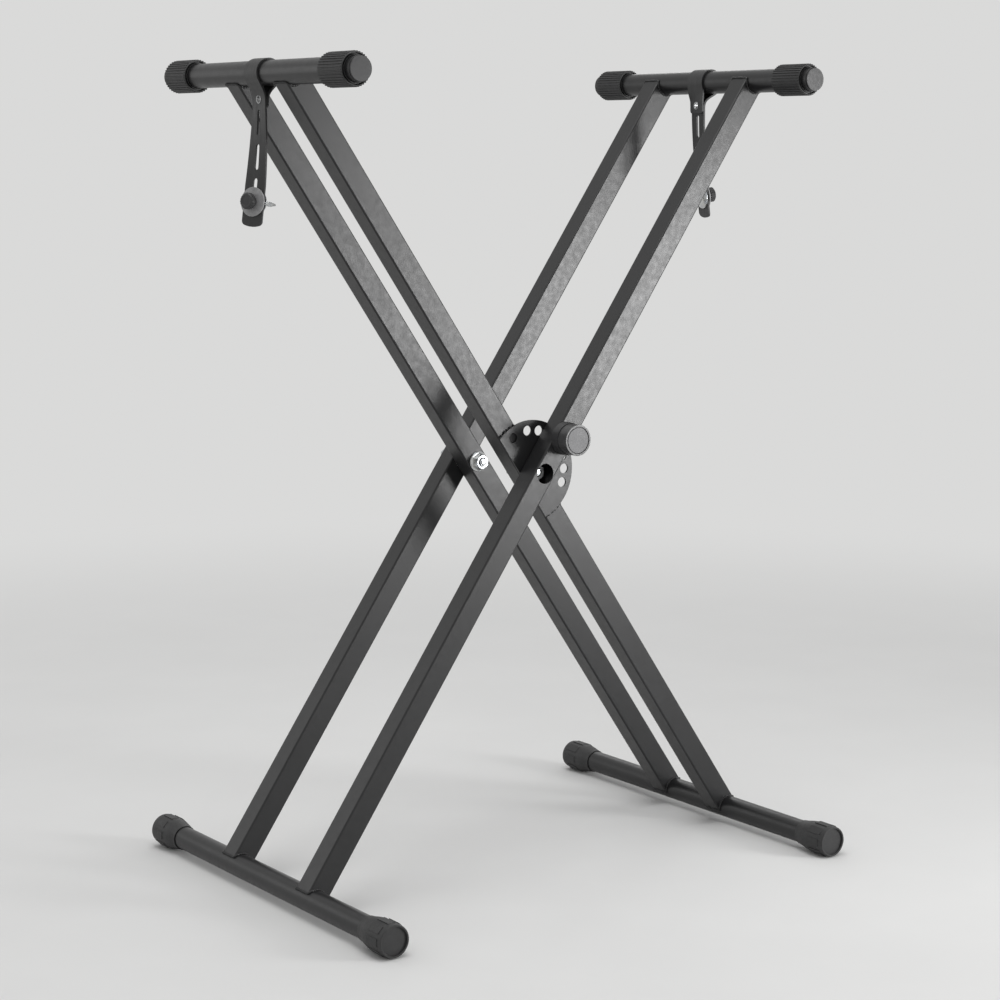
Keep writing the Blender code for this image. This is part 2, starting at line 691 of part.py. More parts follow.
def stadium(half_width, half_length, half_depth, steps=6):
    """A slot-shaped prism, long in local Y."""
    work = bmesh.new()
    outline = []
    straight = half_length - half_width
    for centre, start in ((straight, 0.0), (-straight, math.pi)):
        for i in range(steps + 1):
            angle = start + math.pi * i / steps
            outline.append((half_width * math.cos(angle), centre + half_width * math.sin(angle)))
    low = [work.verts.new((x, y, -half_depth)) for x, y in outline]
    high = [work.verts.new((x, y, half_depth)) for x, y in outline]
    work.faces.new(low)
    work.faces.new(high)
    for i in range(len(outline)):
        k = (i + 1) % len(outline)
        work.faces.new((low[i], low[k], high[k], high[i]))
    return work


def strap(name, side, hang, surface, parent):
    """The slotted band: a strip swept along its path, turned a little towards its lower end."""
    path = strap_path(hang)
    columns = [STRAP_WIDTH * (i / STRAP_COLUMNS - 0.5) for i in range(STRAP_COLUMNS + 1)]
    outline = [(a, -STRAP_THICK / 2) for a in columns] + [(a, STRAP_THICK / 2) for a in reversed(columns)]
    work = bmesh.new()
    rings = []
    count = len(path)
    for i, (out, down) in enumerate(path):
        before = path[max(i - 1, 0)]
        after = path[min(i + 1, count - 1)]
        run = Vector((side * (after[0] - before[0]), 0.0, -(after[1] - before[1]))).normalized()
        centre = Vector((side * (TOP_X + out), STRAP_Y, TOP_Z - down))
        across = Matrix.Rotation(side * -strap_twist(hang, down), 3, "Z") @ Vector((0.0, 1.0, 0.0))
        across = (across - run * across.dot(run)).normalized()
        thick = run.cross(across).normalized()
        ring = [work.verts.new(centre + across * a + thick * b) for a, b in outline]
        rings.append(ring)
    for low, high in zip(rings, rings[1:]):
        for i in range(len(outline)):
            k = (i + 1) % len(outline)
            work.faces.new((low[i], low[k], high[k], high[i]))
    work.faces.new(rings[0])
    work.faces.new(rings[-1])
    made = add(name, work, surface, parent, Matrix.Identity(4), math.radians(30))
    reach = 2 * STRAP_THICK
    for slot, (start, end) in enumerate(STRAP_SLOTS):
        frame = strap_frame(side, hang, (start + end) / 2)
        cut(made, stadium(STRAP_SLOT_HALF, (end - start) / 2, reach), frame, f"{name}_slot_{slot}")
    cut(made, cylinder(EYELET_R + CLEAR, -reach, reach, EYELET_STEPS, HOLE_PHASE), eyelet_frame(side, hang),
        f"{name}_eyelet_hole")
    # The two lower corners are cut off by turned blocks
    off = STRAP_END_CORNER * (math.sqrt(2) - 1) / 2
    for way in (-1, 1):
        corner = bmesh.new()
        bmesh.ops.create_cube(corner, size=STRAP_END_CORNER * 2)
        place = Matrix.Translation((way * (STRAP_WIDTH / 2 + off), off, 0.0)) @ Matrix.Rotation(math.pi / 4, 4, "Z")
        cut(made, corner, strap_frame(side, hang, STRAP_LENGTH) @ place, f"{name}_corner_{way + 1}")
    return made


def strap_fittings(tag, side, hang, steel, black, parent, turner):
    """Eyelet, washers and nut on the strap, and the thumb bolt that turns in them."""
    layers = 2 * STRAP_THICK + CLEAR
    rim = layers / 2 + CLEAR
    eyelet = turned([
        (EYELET_BORE_R, -rim - EYELET_RIM), (EYELET_RIM_R, -rim - EYELET_RIM), (EYELET_RIM_R, -rim),
        (EYELET_R, -rim), (EYELET_R, rim), (EYELET_RIM_R, rim), (EYELET_RIM_R, rim + EYELET_RIM),
        (EYELET_BORE_R, rim + EYELET_RIM)], EYELET_STEPS)
    add(f"strap_eyelet_{tag}", eyelet, steel, parent, eyelet_frame(side, hang), math.radians(40))
    place = strap_frame(side, hang, THUMB_Z)
    face = STRAP_THICK / 2 + CLEAR
    bore = THUMB_R + CLEAR
    washer = ring_disc(THUMB_WASHER_R, bore, face, face + THUMB_WASHER, 40)
    add(f"strap_washer_{tag}", washer, black, parent, place, math.radians(40))
    back = -face - BACKING_THICK
    backing = turned([
        (bore, -face), (BACKING_R, -face), (BACKING_R, -face - BACKING_RIM),
        (BACKING_SLOPE_R, -face - BACKING_SLOPE), (BACKING_FACE_R, back), (bore, back)], 32)
    add(f"strap_backing_{tag}", backing, steel, parent, place, math.radians(40))
    nut_face = back - CLEAR
    nut = hex_nut(STRAP_NUT_FLATS, nut_face - STRAP_NUT, nut_face, bore)
    add(f"strap_nut_{tag}", nut, steel, parent, place, math.radians(30))
    knob_low = face + THUMB_WASHER + CLEAR
    knob_high = knob_low + THUMB_KNOB_LENGTH
    head = knob_high - THUMB_KNOB_CROWN
    bolt = turned([
        (0.0, -THUMB_REACH), (THUMB_POINT_R, -THUMB_REACH), (THUMB_R, -THUMB_REACH + 2 * THUMB_R),
        (THUMB_R, head), (0.0, head)], 16)
    add(f"thumb_bolt_{tag}", bolt, steel, turner, place, math.radians(40))
    inside = round_row(bore)
    neck = round_row(THUMB_NECK_R)
    shoulder = round_row(THUMB_KNOB_R - THUMB_KNOB_EDGE)
    ridges = ribbed_row(THUMB_KNOB_R, THUMB_KNOB_RIDGE)
    knob = shaped((
        (inside, head + CLEAR), (inside, knob_low), (neck, knob_low), (neck, knob_low + THUMB_NECK),
        (shoulder, knob_low + THUMB_NECK), (ridges, knob_low + THUMB_NECK + THUMB_KNOB_EDGE),
        (ridges, knob_high - THUMB_KNOB_EDGE), (shoulder, knob_high)), THUMB_KNOB_RIDGES * 2, False)
    add(f"thumb_knob_{tag}", knob, black, turner, place)


def build():
    """Makes every piece."""
    clear_scene()
    paint = material("powder_coat", (0.018, 0.018, 0.019), 0.38, 0.0)
    rubber = material("rubber", (0.016, 0.016, 0.016), 0.8, 0.0)
    plastic = material("plastic", (0.022, 0.022, 0.023), 0.45, 0.0)
    gloss = material("knob_plastic", (0.02, 0.02, 0.021), 0.25, 0.0)
    pale = material("knob_face", (0.05, 0.05, 0.052), 0.35, 0.0)
    steel = material("zinc_steel", (0.62, 0.62, 0.6), 0.25, 1.0)
    frame_a = empty("frame_a_origin", (0.0, 0.0, 0.0))
    frame_b = empty("fold_axis", (0.0, 0.0, PIVOT_Z))
    slider = empty("pin_axis", (PIN_X, Y_FRONT, PIN_Z))
    slider.parent = frame_b
    slider.matrix_parent_inverse = Matrix.Translation(frame_b.location).inverted()
    through = LEG_SIDE
    pivot_hole = (0.0, BOLT_R + CLEAR, -through, through)
    access = (0.0, ACCESS_HOLE_R, -through, 0.0)
    pin_front = (PLATE_HOLE_RING, FERRULE_R + CLEAR, -through, 0.0)
    pin_back = (PLATE_HOLE_RING, PIN_R + PIN_FIT, 0.0, through)
    leg("a_leg_front", Y_A_FRONT, -1, paint, frame_a, [pivot_hole])
    leg("a_leg_back", Y_A_BACK, -1, paint, frame_a, [pivot_hole])
    leg("b_leg_front", Y_B_FRONT, 1, paint, frame_b,
        [(0.0, BOLT_R + CLEAR, 0.0, through), access, pin_front, pin_back])
    leg("b_leg_back", Y_B_BACK, 1, paint, frame_b, [pivot_hole])
    lock_plate(paint, frame_a)
    for tag, side, parent in (("left", -1, frame_a), ("right", 1, frame_b)):
        bar(f"top_bar_{tag}", side * TOP_X, TOP_Z, TOP_BAR_HALF, paint, parent)
        for end, way in (("near", -1), ("far", 1)):
            sleeve(f"sleeve_{tag}_{end}", side * TOP_X, TOP_Z, way, rubber, parent)
            bar_plug(f"bar_plug_{tag}_{end}", side * TOP_X, TOP_Z, way, plastic, parent)
    for tag, side, parent in (("left", -1, frame_b), ("right", 1, frame_a)):
        bar(f"foot_bar_{tag}", side * FOOT_X, FOOT_Z, FOOT_BAR_HALF, paint, parent)
        for end, way in (("near", -1), ("far", 1)):
            foot_cap(f"foot_cap_{tag}_{end}", side * FOOT_X, FOOT_Z, way, rubber, parent)
    pivots(steel, frame_a)
    pull_pin(plastic, gloss, pale, steel, frame_b, slider)
    for tag, side, hang in (("left", -1, HANG_LEFT), ("right", 1, HANG_RIGHT)):
        swing = empty(f"strap_axis_{tag}", (side * TOP_X, STRAP_Y, TOP_Z))
        turner = empty(f"thumb_axis_{tag}", strap_place(side, hang, THUMB_Z))
        strap(f"strap_{tag}", side, hang, rubber, swing)
        strap_fittings(tag, side, hang, steel, plastic, swing, turner)


build()
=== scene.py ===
"""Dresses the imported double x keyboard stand: refined pieces, finishes, a pale floor, lights and camera."""
import json
import math
from collections import namedtuple

import bmesh
import bpy
from bpy.props import FloatProperty, FloatVectorProperty, IntProperty, PointerProperty
from mathutils import Matrix, Vector


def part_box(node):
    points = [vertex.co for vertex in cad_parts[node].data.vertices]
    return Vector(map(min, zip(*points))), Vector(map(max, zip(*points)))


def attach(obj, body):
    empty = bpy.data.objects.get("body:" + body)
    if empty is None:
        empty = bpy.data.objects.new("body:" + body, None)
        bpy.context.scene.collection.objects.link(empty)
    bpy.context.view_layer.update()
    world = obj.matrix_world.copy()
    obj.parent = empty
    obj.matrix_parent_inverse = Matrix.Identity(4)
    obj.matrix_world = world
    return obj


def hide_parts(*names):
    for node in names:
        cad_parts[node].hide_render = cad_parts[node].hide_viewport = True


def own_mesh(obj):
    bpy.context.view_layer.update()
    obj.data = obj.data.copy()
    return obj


bl_info = {
    "name": "Double x keyboard stand",
    "version": (1, 0, 0),
    "blender": (4, 5, 0),
    "location": "View3D > Sidebar > Stand",
    "description": "Makes the pieces, finishes and stage of a double x keyboard stand",
    "category": "Object",
}

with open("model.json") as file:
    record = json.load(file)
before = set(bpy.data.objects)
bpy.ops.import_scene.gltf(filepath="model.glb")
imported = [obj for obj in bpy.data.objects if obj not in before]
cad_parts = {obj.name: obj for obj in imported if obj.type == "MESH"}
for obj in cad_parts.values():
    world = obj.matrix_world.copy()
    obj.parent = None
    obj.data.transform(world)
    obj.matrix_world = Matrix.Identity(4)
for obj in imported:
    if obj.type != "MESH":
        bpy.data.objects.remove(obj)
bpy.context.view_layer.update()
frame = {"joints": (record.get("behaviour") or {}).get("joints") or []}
joints = {joint["name"]: joint for joint in frame["joints"]}

# Gap between pieces that touch
CLEAR = 0.0003
# Points nearer than this are one point
MERGE = 0.000003
# Sides of a turned piece
COARSE = 48
FINE = 96
FINEST = 128

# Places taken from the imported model
PIVOT_Z = joints["fold"]["pos_m"][2]


def middle(node):
    """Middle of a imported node's box."""
    low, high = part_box(node)
    return (low + high) / 2


def depths(node, origin=0.0):
    """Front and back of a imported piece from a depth, and its radius about the line along the depth."""
    low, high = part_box(node)
    return low.y - origin, high.y - origin, (high.x - low.x) / 2


TOP_LEFT = middle("top_bar_left")
TOP_RIGHT = middle("top_bar_right")
FOOT_LEFT = middle("foot_bar_left")
PIN = middle("lock_pin")
LEG_TILT = math.atan2(TOP_RIGHT.x, TOP_RIGHT.z - PIVOT_Z)
LEG_UP = math.hypot(TOP_RIGHT.x, TOP_RIGHT.z - PIVOT_Z)
LEG_DOWN = math.hypot(FOOT_LEFT.x, PIVOT_Z - FOOT_LEFT.z)


def size(name, text, default):
    """A length that a user may change."""
    return FloatProperty(name=name, description=text, default=default, min=0.0, precision=5, unit="LENGTH")


def colour(name, text, default):
    """A colour that a user may change."""
    return FloatVectorProperty(name=name, description=text, default=default, size=3, min=0.0, max=1.0,
                               subtype="COLOR")


class StandSizes(bpy.types.PropertyGroup):
    """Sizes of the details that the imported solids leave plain."""
    tube_side: size("Tube side", "Side of the square legs", 0.025)
    tube_wall: size("Tube wall", "Wall of the square legs", 0.0015)
    tube_corner: size("Tube corner", "Rounding along the legs", 0.0019)
    bar_radius: size("Bar radius", "Radius of the round bars", 0.0125)
    bar_wall: size("Bar wall", "Wall of the round bars", 0.0015)
    weld_radius: size("Weld radius", "Radius of the weld bead at a leg's end", 0.0012)
    sleeve_radius: size("Sleeve radius", "Radius over the ribs", 0.017)
    sleeve_rib: size("Rib height", "Height of a sleeve's rib", 0.0009)
    cap_radius: size("Cap radius", "Radius of a foot cap between its pads", 0.017)
    strap_width: size("Strap width", "Width of a strap", 0.025)
    strap_thickness: size("Strap thickness", "Thickness of a strap", 0.002)
    edge: size("Edge", "Rounding of pressed and moulded edges", 0.0004)
    ribs: IntProperty(name="Ribs", description="Ribs on a sleeve", default=36, min=8)


class StandColours(bpy.types.PropertyGroup):
    """Colours of the finishes."""
    paint: colour("Paint", "Powder coat on the tubes and the plate", (0.0130, 0.0130, 0.0136))
    rubber: colour("Rubber", "Sleeves and foot caps", (0.019, 0.019, 0.0195))
    strap: colour("Strap", "Rubber of the straps", (0.019, 0.019, 0.0195))
    plastic: colour("Plastic", "Plugs, collar and washers", (0.026, 0.026, 0.027))
    knob: colour("Knob", "Body of the pull knob", (0.042, 0.042, 0.0433))
    knob_face: colour("Knob face", "Disc set in the pull knob", (0.112, 0.112, 0.116))
    washer: colour("Washer", "Washers under the straps' knobs", (0.29, 0.29, 0.294))
    zinc: colour("Zinc", "Bolts, nuts and washers", (0.55, 0.555, 0.56))
    floor: colour("Floor", "The pale floor", (0.70, 0.70, 0.695))


# Modelling helpers

def only(piece):
    """Selects and activates one object alone."""
    bpy.ops.object.select_all(action="DESELECT")
    piece.select_set(True)
    bpy.context.view_layer.objects.active = piece


def begin():
    """Deselects everything before a primitive is added."""
    if bpy.context.object and bpy.context.object.mode != "OBJECT":
        bpy.ops.object.mode_set(mode="OBJECT")
    bpy.ops.object.select_all(action="DESELECT")


def named(name):
    """Names the object that was just made, and its mesh."""
    piece = bpy.context.object
    piece.name = name
    piece.data.name = name
    return piece


def pick_faces(piece, test):
    """Selects, in edit mode, just the faces whose middle and normal pass the test."""
    bpy.ops.mesh.select_mode(type="FACE")
    bpy.ops.mesh.select_all(action="DESELECT")
    mesh = bmesh.from_edit_mesh(piece.data)
    for face in mesh.faces:
        face.select_set(bool(test(face.calc_center_median(), face.normal)))
    bmesh.update_edit_mesh(piece.data)


def pick_edges(piece, test):
    """Selects, in edit mode, just the edges whose two ends pass the test."""
    bpy.ops.mesh.select_mode(type="EDGE")
    bpy.ops.mesh.select_all(action="DESELECT")
    mesh = bmesh.from_edit_mesh(piece.data)
    for edge in mesh.edges:
        edge.select_set(bool(test(edge.verts[0].co, edge.verts[1].co)))
    bmesh.update_edit_mesh(piece.data)


def edit(piece=None):
    """Opens a mesh with all of it selected."""
    if piece:
        only(piece)
    bpy.ops.object.mode_set(mode="EDIT")
    bpy.ops.mesh.select_all(action="SELECT")


def close():
    """Goes back to object mode."""
    bpy.ops.object.mode_set(mode="OBJECT")


def face_out():
    """Turns the normals of the open mesh outwards and closes it."""
    bpy.ops.mesh.select_all(action="SELECT")
    bpy.ops.mesh.normals_make_consistent(inside=False)
    close()


def modifier(piece, kind, **values):
    """Adds a modifier to the active piece, sets it and applies it."""
    bpy.ops.object.modifier_add(type=kind)
    added = piece.modifiers[-1]
    for name, value in values.items():
        setattr(added, name, value)
    bpy.ops.object.modifier_apply(modifier=added.name)


def clean(piece):
    """Merges points that lie on each other and dissolves faces without area."""
    edit(piece)
    bpy.ops.mesh.remove_doubles(threshold=MERGE)
    bpy.ops.mesh.dissolve_degenerate(threshold=MERGE)
    close()


def round_edges(piece, width, steps=2, angle=35.0):
    """Rounds the sharp edges of a piece."""
    only(piece)
    modifier(piece, "BEVEL", width=width, segments=steps, limit_method="ANGLE",
             angle_limit=math.radians(angle), miter_outer="MITER_ARC")
    clean(piece)


def carve(piece, cutter, operation="DIFFERENCE"):
    """Cuts one object with another, which is then removed."""
    only(piece)
    modifier(piece, "BOOLEAN", operation=operation, solver="EXACT", object=cutter)
    bpy.data.objects.remove(cutter)


def smooth(piece, angle=35.0):
    """Smooth shading up to an angle, with the large faces kept flat."""
    only(piece)
    bpy.ops.object.shade_smooth_by_angle(angle=math.radians(angle))
    modifier(piece, "WEIGHTED_NORMAL", keep_sharp=True, weight=100)


def soften(piece, width, steps=2, angle=35.0, shade=35.0):
    """Rounds the sharp edges of a piece and shades it smooth."""
    round_edges(piece, width, steps, angle)
    smooth(piece, shade)


def settle(piece, place):
    """Puts a piece in its place and writes the place into its mesh."""
    only(piece)
    piece.matrix_world = place
    bpy.ops.object.transform_apply(location=True, rotation=True, scale=True)
    return piece


def turned(name, rows, steps=FINE, closed=False):
    """A piece turned round local Z: a circle extruded from row to row of (radius, height)."""
    begin()
    bpy.ops.mesh.primitive_circle_add(vertices=steps, radius=rows[0][0], location=(0, 0, 0),
                                      fill_type="NOTHING" if closed else "NGON")
    piece = named(name)
    bpy.ops.object.mode_set(mode="EDIT")
    bpy.ops.mesh.select_mode(type="VERT")
    bpy.ops.mesh.select_all(action="SELECT")
    bpy.ops.transform.translate(value=(0, 0, rows[0][1]))
    radius, height = rows[0]
    for new_radius, new_height in list(rows[1:]) + ([rows[0]] if closed else []):
        bpy.ops.mesh.extrude_region_move(TRANSFORM_OT_translate={"value": (0, 0, new_height - height)})
        grow = new_radius / radius
        bpy.ops.transform.resize(value=(grow, grow, 1), center_override=(0, 0, 0))
        radius, height = new_radius, new_height
    if closed:
        bpy.ops.mesh.select_all(action="SELECT")
        bpy.ops.mesh.remove_doubles(threshold=1e-6)
    face_out()
    return piece


def raise_ridges(piece, count, core, low, high, slope, height):
    """Raises every other side of a turned piece between two heights into a ridge."""
    period = 2 * math.pi / count
    bpy.ops.object.mode_set(mode="EDIT")
    pick_faces(piece, lambda place, normal: math.hypot(place.x, place.y) > core * 0.97
               and low < place.z < high and math.atan2(place.y, place.x) % period < period / 2)
    bpy.ops.mesh.inset(use_individual=True, thickness=slope, depth=height, use_even_offset=True)
    close()


def rod(name, radius, low, high, steps=COARSE):
    """A plain round cutter along local Z."""
    begin()
    bpy.ops.mesh.primitive_cylinder_add(vertices=steps, radius=radius, depth=high - low,
                                        location=(0, 0, (low + high) / 2))
    piece = named(name)
    bpy.ops.object.transform_apply(location=True)
    return piece


def along_y(x, y, z):
    """Local Z becomes +Y."""
    return Matrix.Translation((x, y, z)) @ Matrix.Rotation(-math.pi / 2, 4, "X")


def towards_front(x, y, z):
    """Local Z becomes -Y."""
    return Matrix.Translation((x, y, z)) @ Matrix.Rotation(math.pi / 2, 4, "X")


def facing(bar, way):
    """Local Z runs outwards along a bar from its middle: way -1 is the near end."""
    return (towards_front if way < 0 else along_y)(bar.x, 0.0, bar.z)


def dress(piece, place, surface, slot, body, *nodes):
    """Puts a piece in its place and gives it its finish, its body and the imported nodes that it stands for."""
    settle(piece, place)
    piece.data.materials.clear()
    piece.data.materials.append(surface)
    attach(piece, body)
    if nodes:
        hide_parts(*nodes)


# Finishes

def node(nodes, kind, **values):
    """Adds a shader node and sets its inputs."""
    added = nodes.new("ShaderNode" + kind)
    for socket, value in values.items():
        added.inputs[socket.replace("_", " ")].default_value = value
    return added


def placed(nodes, links, texture, **values):
    """Lays a texture on the piece's own coordinates, moved or stretched."""
    where = node(nodes, "TexCoord")
    mapping = node(nodes, "Mapping", **values)
    links.new(where.outputs["Object"], mapping.inputs["Vector"])
    links.new(mapping.outputs["Vector"], texture.inputs["Vector"])
    return texture.outputs["Fac"]


def grain(nodes, links, scale, detail=4.0, stretch=(1, 1, 1)):
    """Noise, stretched if need be."""
    return placed(nodes, links, node(nodes, "TexNoise", Scale=scale, Detail=detail), Scale=stretch)


def rings(nodes, links):
    """Fine rings round the pin's line."""
    wave = node(nodes, "TexWave", Scale=420.0, Distortion=0.4)
    wave.wave_type = "RINGS"
    wave.rings_direction = "Y"
    return placed(nodes, links, wave, Location=(-PIN.x, 0.0, -PIN.z))


def spread(nodes, links, value, low, high):
    """Stretches the middle of a noise over a range."""
    ramp = node(nodes, "MapRange", From_Min=0.3, From_Max=0.7, To_Min=low, To_Max=high)
    links.new(value, ramp.inputs["Value"])
    return ramp.outputs["Result"]


def tint_between(nodes, links, value, dark, light):
    """A colour between two tints, by a noise."""
    ramp = nodes.new("ShaderNodeValToRGB")
    ramp.color_ramp.elements[0].position = 0.3
    ramp.color_ramp.elements[0].color = (*dark, 1.0)
    ramp.color_ramp.elements[1].position = 0.7
    ramp.color_ramp.elements[1].color = (*light, 1.0)
    links.new(value, ramp.inputs["Fac"])
    return ramp.outputs["Color"]


def relief(nodes, links, height, strength, distance, under=None):
    """Bump from a height, over another bump if there is one."""
    bump = node(nodes, "Bump", Strength=strength, Distance=distance)
    links.new(height, bump.inputs["Height"])
    if under:
        links.new(under, bump.inputs["Normal"])
    return bump.outputs["Normal"]


def times(tint, share):
    """A colour times one number, or times a number for each channel."""
    parts = share if isinstance(share, tuple) else (share, share, share)
    return [channel * part for channel, part in zip(tint, parts)]


def finish(name, colour_name, roughness, tone, sheen, bumps=(), share=1.0, metallic=0.0, **fixed):
    """A Principled material whose constants stand on its own sockets.

    The tone is a noise with the colour's darkest and lightest share, the sheen a noise with its range of
    roughness, and each bump a noise or a pattern with its strength and depth.
    """
    made = bpy.data.materials.get(name)
    if made:
        return made
    made = bpy.data.materials.new(name)
    made.use_nodes = True
    nodes, links = made.node_tree.nodes, made.node_tree.links
    shader = nodes["Principled BSDF"]
    base = times(getattr(bpy.context.scene.stand_colours, colour_name), share)
    shader.inputs["Base Color"].default_value = (*base, 1.0)
    shader.inputs["Roughness"].default_value = roughness
    shader.inputs["Metallic"].default_value = metallic
    for socket, value in fixed.items():
        shader.inputs[socket.replace("_", " ")].default_value = value
    noise, dark, light = tone
    tints = tint_between(nodes, links, grain(nodes, links, *noise), times(base, dark), times(base, light))
    links.new(tints, shader.inputs["Base Color"])
    noise, low, high = sheen
    links.new(spread(nodes, links, grain(nodes, links, *noise), low, high), shader.inputs["Roughness"])
    under = None
    for noise, strength, deep in bumps:
        height = noise(nodes, links) if callable(noise) else grain(nodes, links, *noise)
        under = relief(nodes, links, height, strength, deep, under)
    if under:
        links.new(under, shader.inputs["Normal"])
    return made


def paint():
    """Satin black powder coat: fine orange peel, cloudy sheen and a few dull specks."""
    peel, specks = ((1300.0, 2.0), 0.22, 0.0002), ((4200.0, 1.0), 0.08, 0.0001)
    return finish("powder_coat_satin", "paint", 0.36,
                  ((22.0,), 0.88, 1.14), ((160.0,), 0.32, 0.40), (peel, specks), Specular_IOR_Level=0.42)


def rubber():
    """Matte moulded rubber with a fine grain and a faint bloom."""
    bloom = (60.0, 6.0)
    return finish("rubber_matte", "rubber", 0.53,
                  (bloom, 0.85, 1.3), ((420.0,), 0.46, 0.60),
                  (((2400.0, 3.0), 0.35, 0.0002), (bloom, 0.1, 0.0004)))


def strap_rubber():
    """Smooth strap rubber with faint lengthwise drawing marks."""
    marks = (500.0, 3.0, (1.0, 1.0, 0.06))
    return finish("rubber_strap", "strap", 0.5,
                  ((90.0,), 0.85, 1.2), (marks, 0.42, 0.56), (((2600.0, 3.0), 0.25, 0.0002),))


def plastic():
    """Moulded plastic with a spark-eroded texture."""
    return finish("plastic_moulded", "plastic", 0.44,
                  ((70.0,), 0.9, 1.12), ((300.0,), 0.38, 0.5), (((3200.0, 2.0), 0.3, 0.00015),))


def knob_plastic():
    """Glossier plastic of the pull knob."""
    return finish("plastic_knob", "knob", 0.4,
                  ((90.0,), 0.9, 1.15), ((260.0,), 0.36, 0.46), (((2000.0, 2.0), 0.12, 0.0001),),
                  Coat_Weight=0.1, Coat_Roughness=0.2)


def washer_plastic():
    """Greyer semi-gloss plastic of the straps' washers."""
    return finish("plastic_washer", "washer", 0.28,
                  ((120.0,), 0.85, 1.15), ((300.0,), 0.22, 0.34), (((1800.0, 2.0), 0.1, 0.0001),))


def dull_zinc():
    """Darker, duller plate of the small eyelets."""
    cloud = (400.0, 3.0)
    return finish("zinc_dull", "zinc", 0.4, (cloud, 0.75, 1.2), (cloud, 0.32, 0.5), share=0.75, metallic=1.0)


def satin_zinc():
    """Satin zinc of the nut inside the near leg."""
    cloud = (260.0, 3.0)
    return finish("zinc_satin", "zinc", 0.55,
                  (cloud, 0.88, 1.15), (cloud, 0.48, 0.62), (((1500.0,), 0.15, 0.0001),), metallic=1.0)


def knob_disc():
    """Paler face of the knob with fine rings."""
    cloud = (260.0, 6.0)
    return finish("knob_disc", "knob_face", 0.45,
                  (cloud, 0.72, 1.3), (cloud, 0.38, 0.52), ((rings, 0.35, 0.0001),))


def zinc():
    """Bright zinc plate with a cloudy passivate and fine scratches."""
    cool, warm = (0.86, 0.9, 0.95), (1.12, 1.1, 1.04)
    scratch = (1500.0, 2.0, (1.0, 0.08, 1.0))
    return finish("zinc_plate", "zinc", 0.24,
                  ((140.0, 3.0), cool, warm), (scratch, 0.17, 0.33), ((scratch, 0.12, 0.0001),), metallic=1.0)


# Frames and legs

# Name and lean of each leg, and the body that it rides on
LEGS = (
    ("a_leg_front", -1, "frame_a"),
    ("a_leg_back", -1, "frame_a"),
    ("b_leg_front", 1, "frame_b"),
    ("b_leg_back", 1, "frame_b"),
)
# Body that each bar rides on
BARS = {
    "top_bar_left": "frame_a",
    "top_bar_right": "frame_b",
    "foot_bar_left": "frame_b",
    "foot_bar_right": "frame_a",
}
CORNER_STEPS = 5
# Small turn that keeps a round cutter's corners off the tube's walls
CUTTER_TURN = math.radians(2.0)
BOLT_RADIUS = 0.0050
ACCESS_RADIUS = 0.0108
PIN_BUSH_RADIUS = 0.0060
PIN_RADIUS = 0.0040
PIN_FIT = 0.0005
PIN_RING = math.hypot(PIN.x, PIN.z - PIVOT_Z)


def leg_frame(name, lean):
    """Local Z up a leg from the pivot's line, local Y along the depth."""
    return Matrix.Translation((0.0, middle(name).y, PIVOT_Z)) @ Matrix.Rotation(lean * LEG_TILT, 4, "Y")


def square_tube(name, low, high):
    """A hollow square tube along local Z with rounded corners."""
    sizes = bpy.context.scene.stand_sizes
    half = sizes.tube_side / 2
    begin()
    bpy.ops.mesh.primitive_cube_add(size=1.0, location=(0, 0, 0))
    piece = named(name)
    edit()
    bpy.ops.transform.resize(value=(2 * half, 2 * half, high - low), center_override=(0, 0, 0))
    bpy.ops.transform.translate(value=(0, 0, (low + high) / 2))
    pick_edges(piece, lambda a, b: abs(a.z - b.z) > half)
    bpy.ops.mesh.bevel(offset=sizes.tube_corner, segments=CORNER_STEPS, affect="EDGES")
    pick_faces(piece, lambda place, normal: abs(normal.z) > 0.9)
    bpy.ops.mesh.delete(type="FACE")
    close()
    modifier(piece, "SOLIDIFY", thickness=sizes.tube_wall, offset=-1.0, use_even_offset=True)
    return piece


class STAND_OT_legs(bpy.types.Operator):
    """Makes the four square legs with their saddle ends and holes"""
    bl_idname = "stand.legs"
    bl_label = "Legs"

    def execute(self, context):
        """Cuts each leg's ends to the bars and drills it."""
        sizes = context.scene.stand_sizes
        saddle = sizes.bar_radius + CLEAR
        through = sizes.tube_side
        for name, lean, body in LEGS:
            leg = square_tube(name + "_tube", -LEG_DOWN, LEG_UP)
            cuts = [(LEG_UP, saddle, -through, through), (-LEG_DOWN, saddle, -through, through)]
            if name == "b_leg_front":
                cuts += [(0.0, BOLT_RADIUS + CLEAR, 0.0, through), (0.0, ACCESS_RADIUS, -through, 0.0),
                         (PIN_RING, PIN_BUSH_RADIUS + CLEAR, -through, 0.0),
                         (PIN_RING, PIN_RADIUS + PIN_FIT, 0.0, through)]
            else:
                cuts.append((0.0, BOLT_RADIUS + CLEAR, -through, through))
            for height, radius, low, high in cuts:
                cutter = rod("leg_cutter", radius, low, high, FINE if radius > PIN_BUSH_RADIUS else COARSE)
                settle(cutter, Matrix.Rotation(CUTTER_TURN, 4, "Z"))
                carve(leg, settle(cutter, along_y(0.0, 0.0, height)))
            smooth(leg, 30.0)
            dress(leg, leg_frame(name, lean), paint(), "powder_coat", body, name)
        return {"FINISHED"}


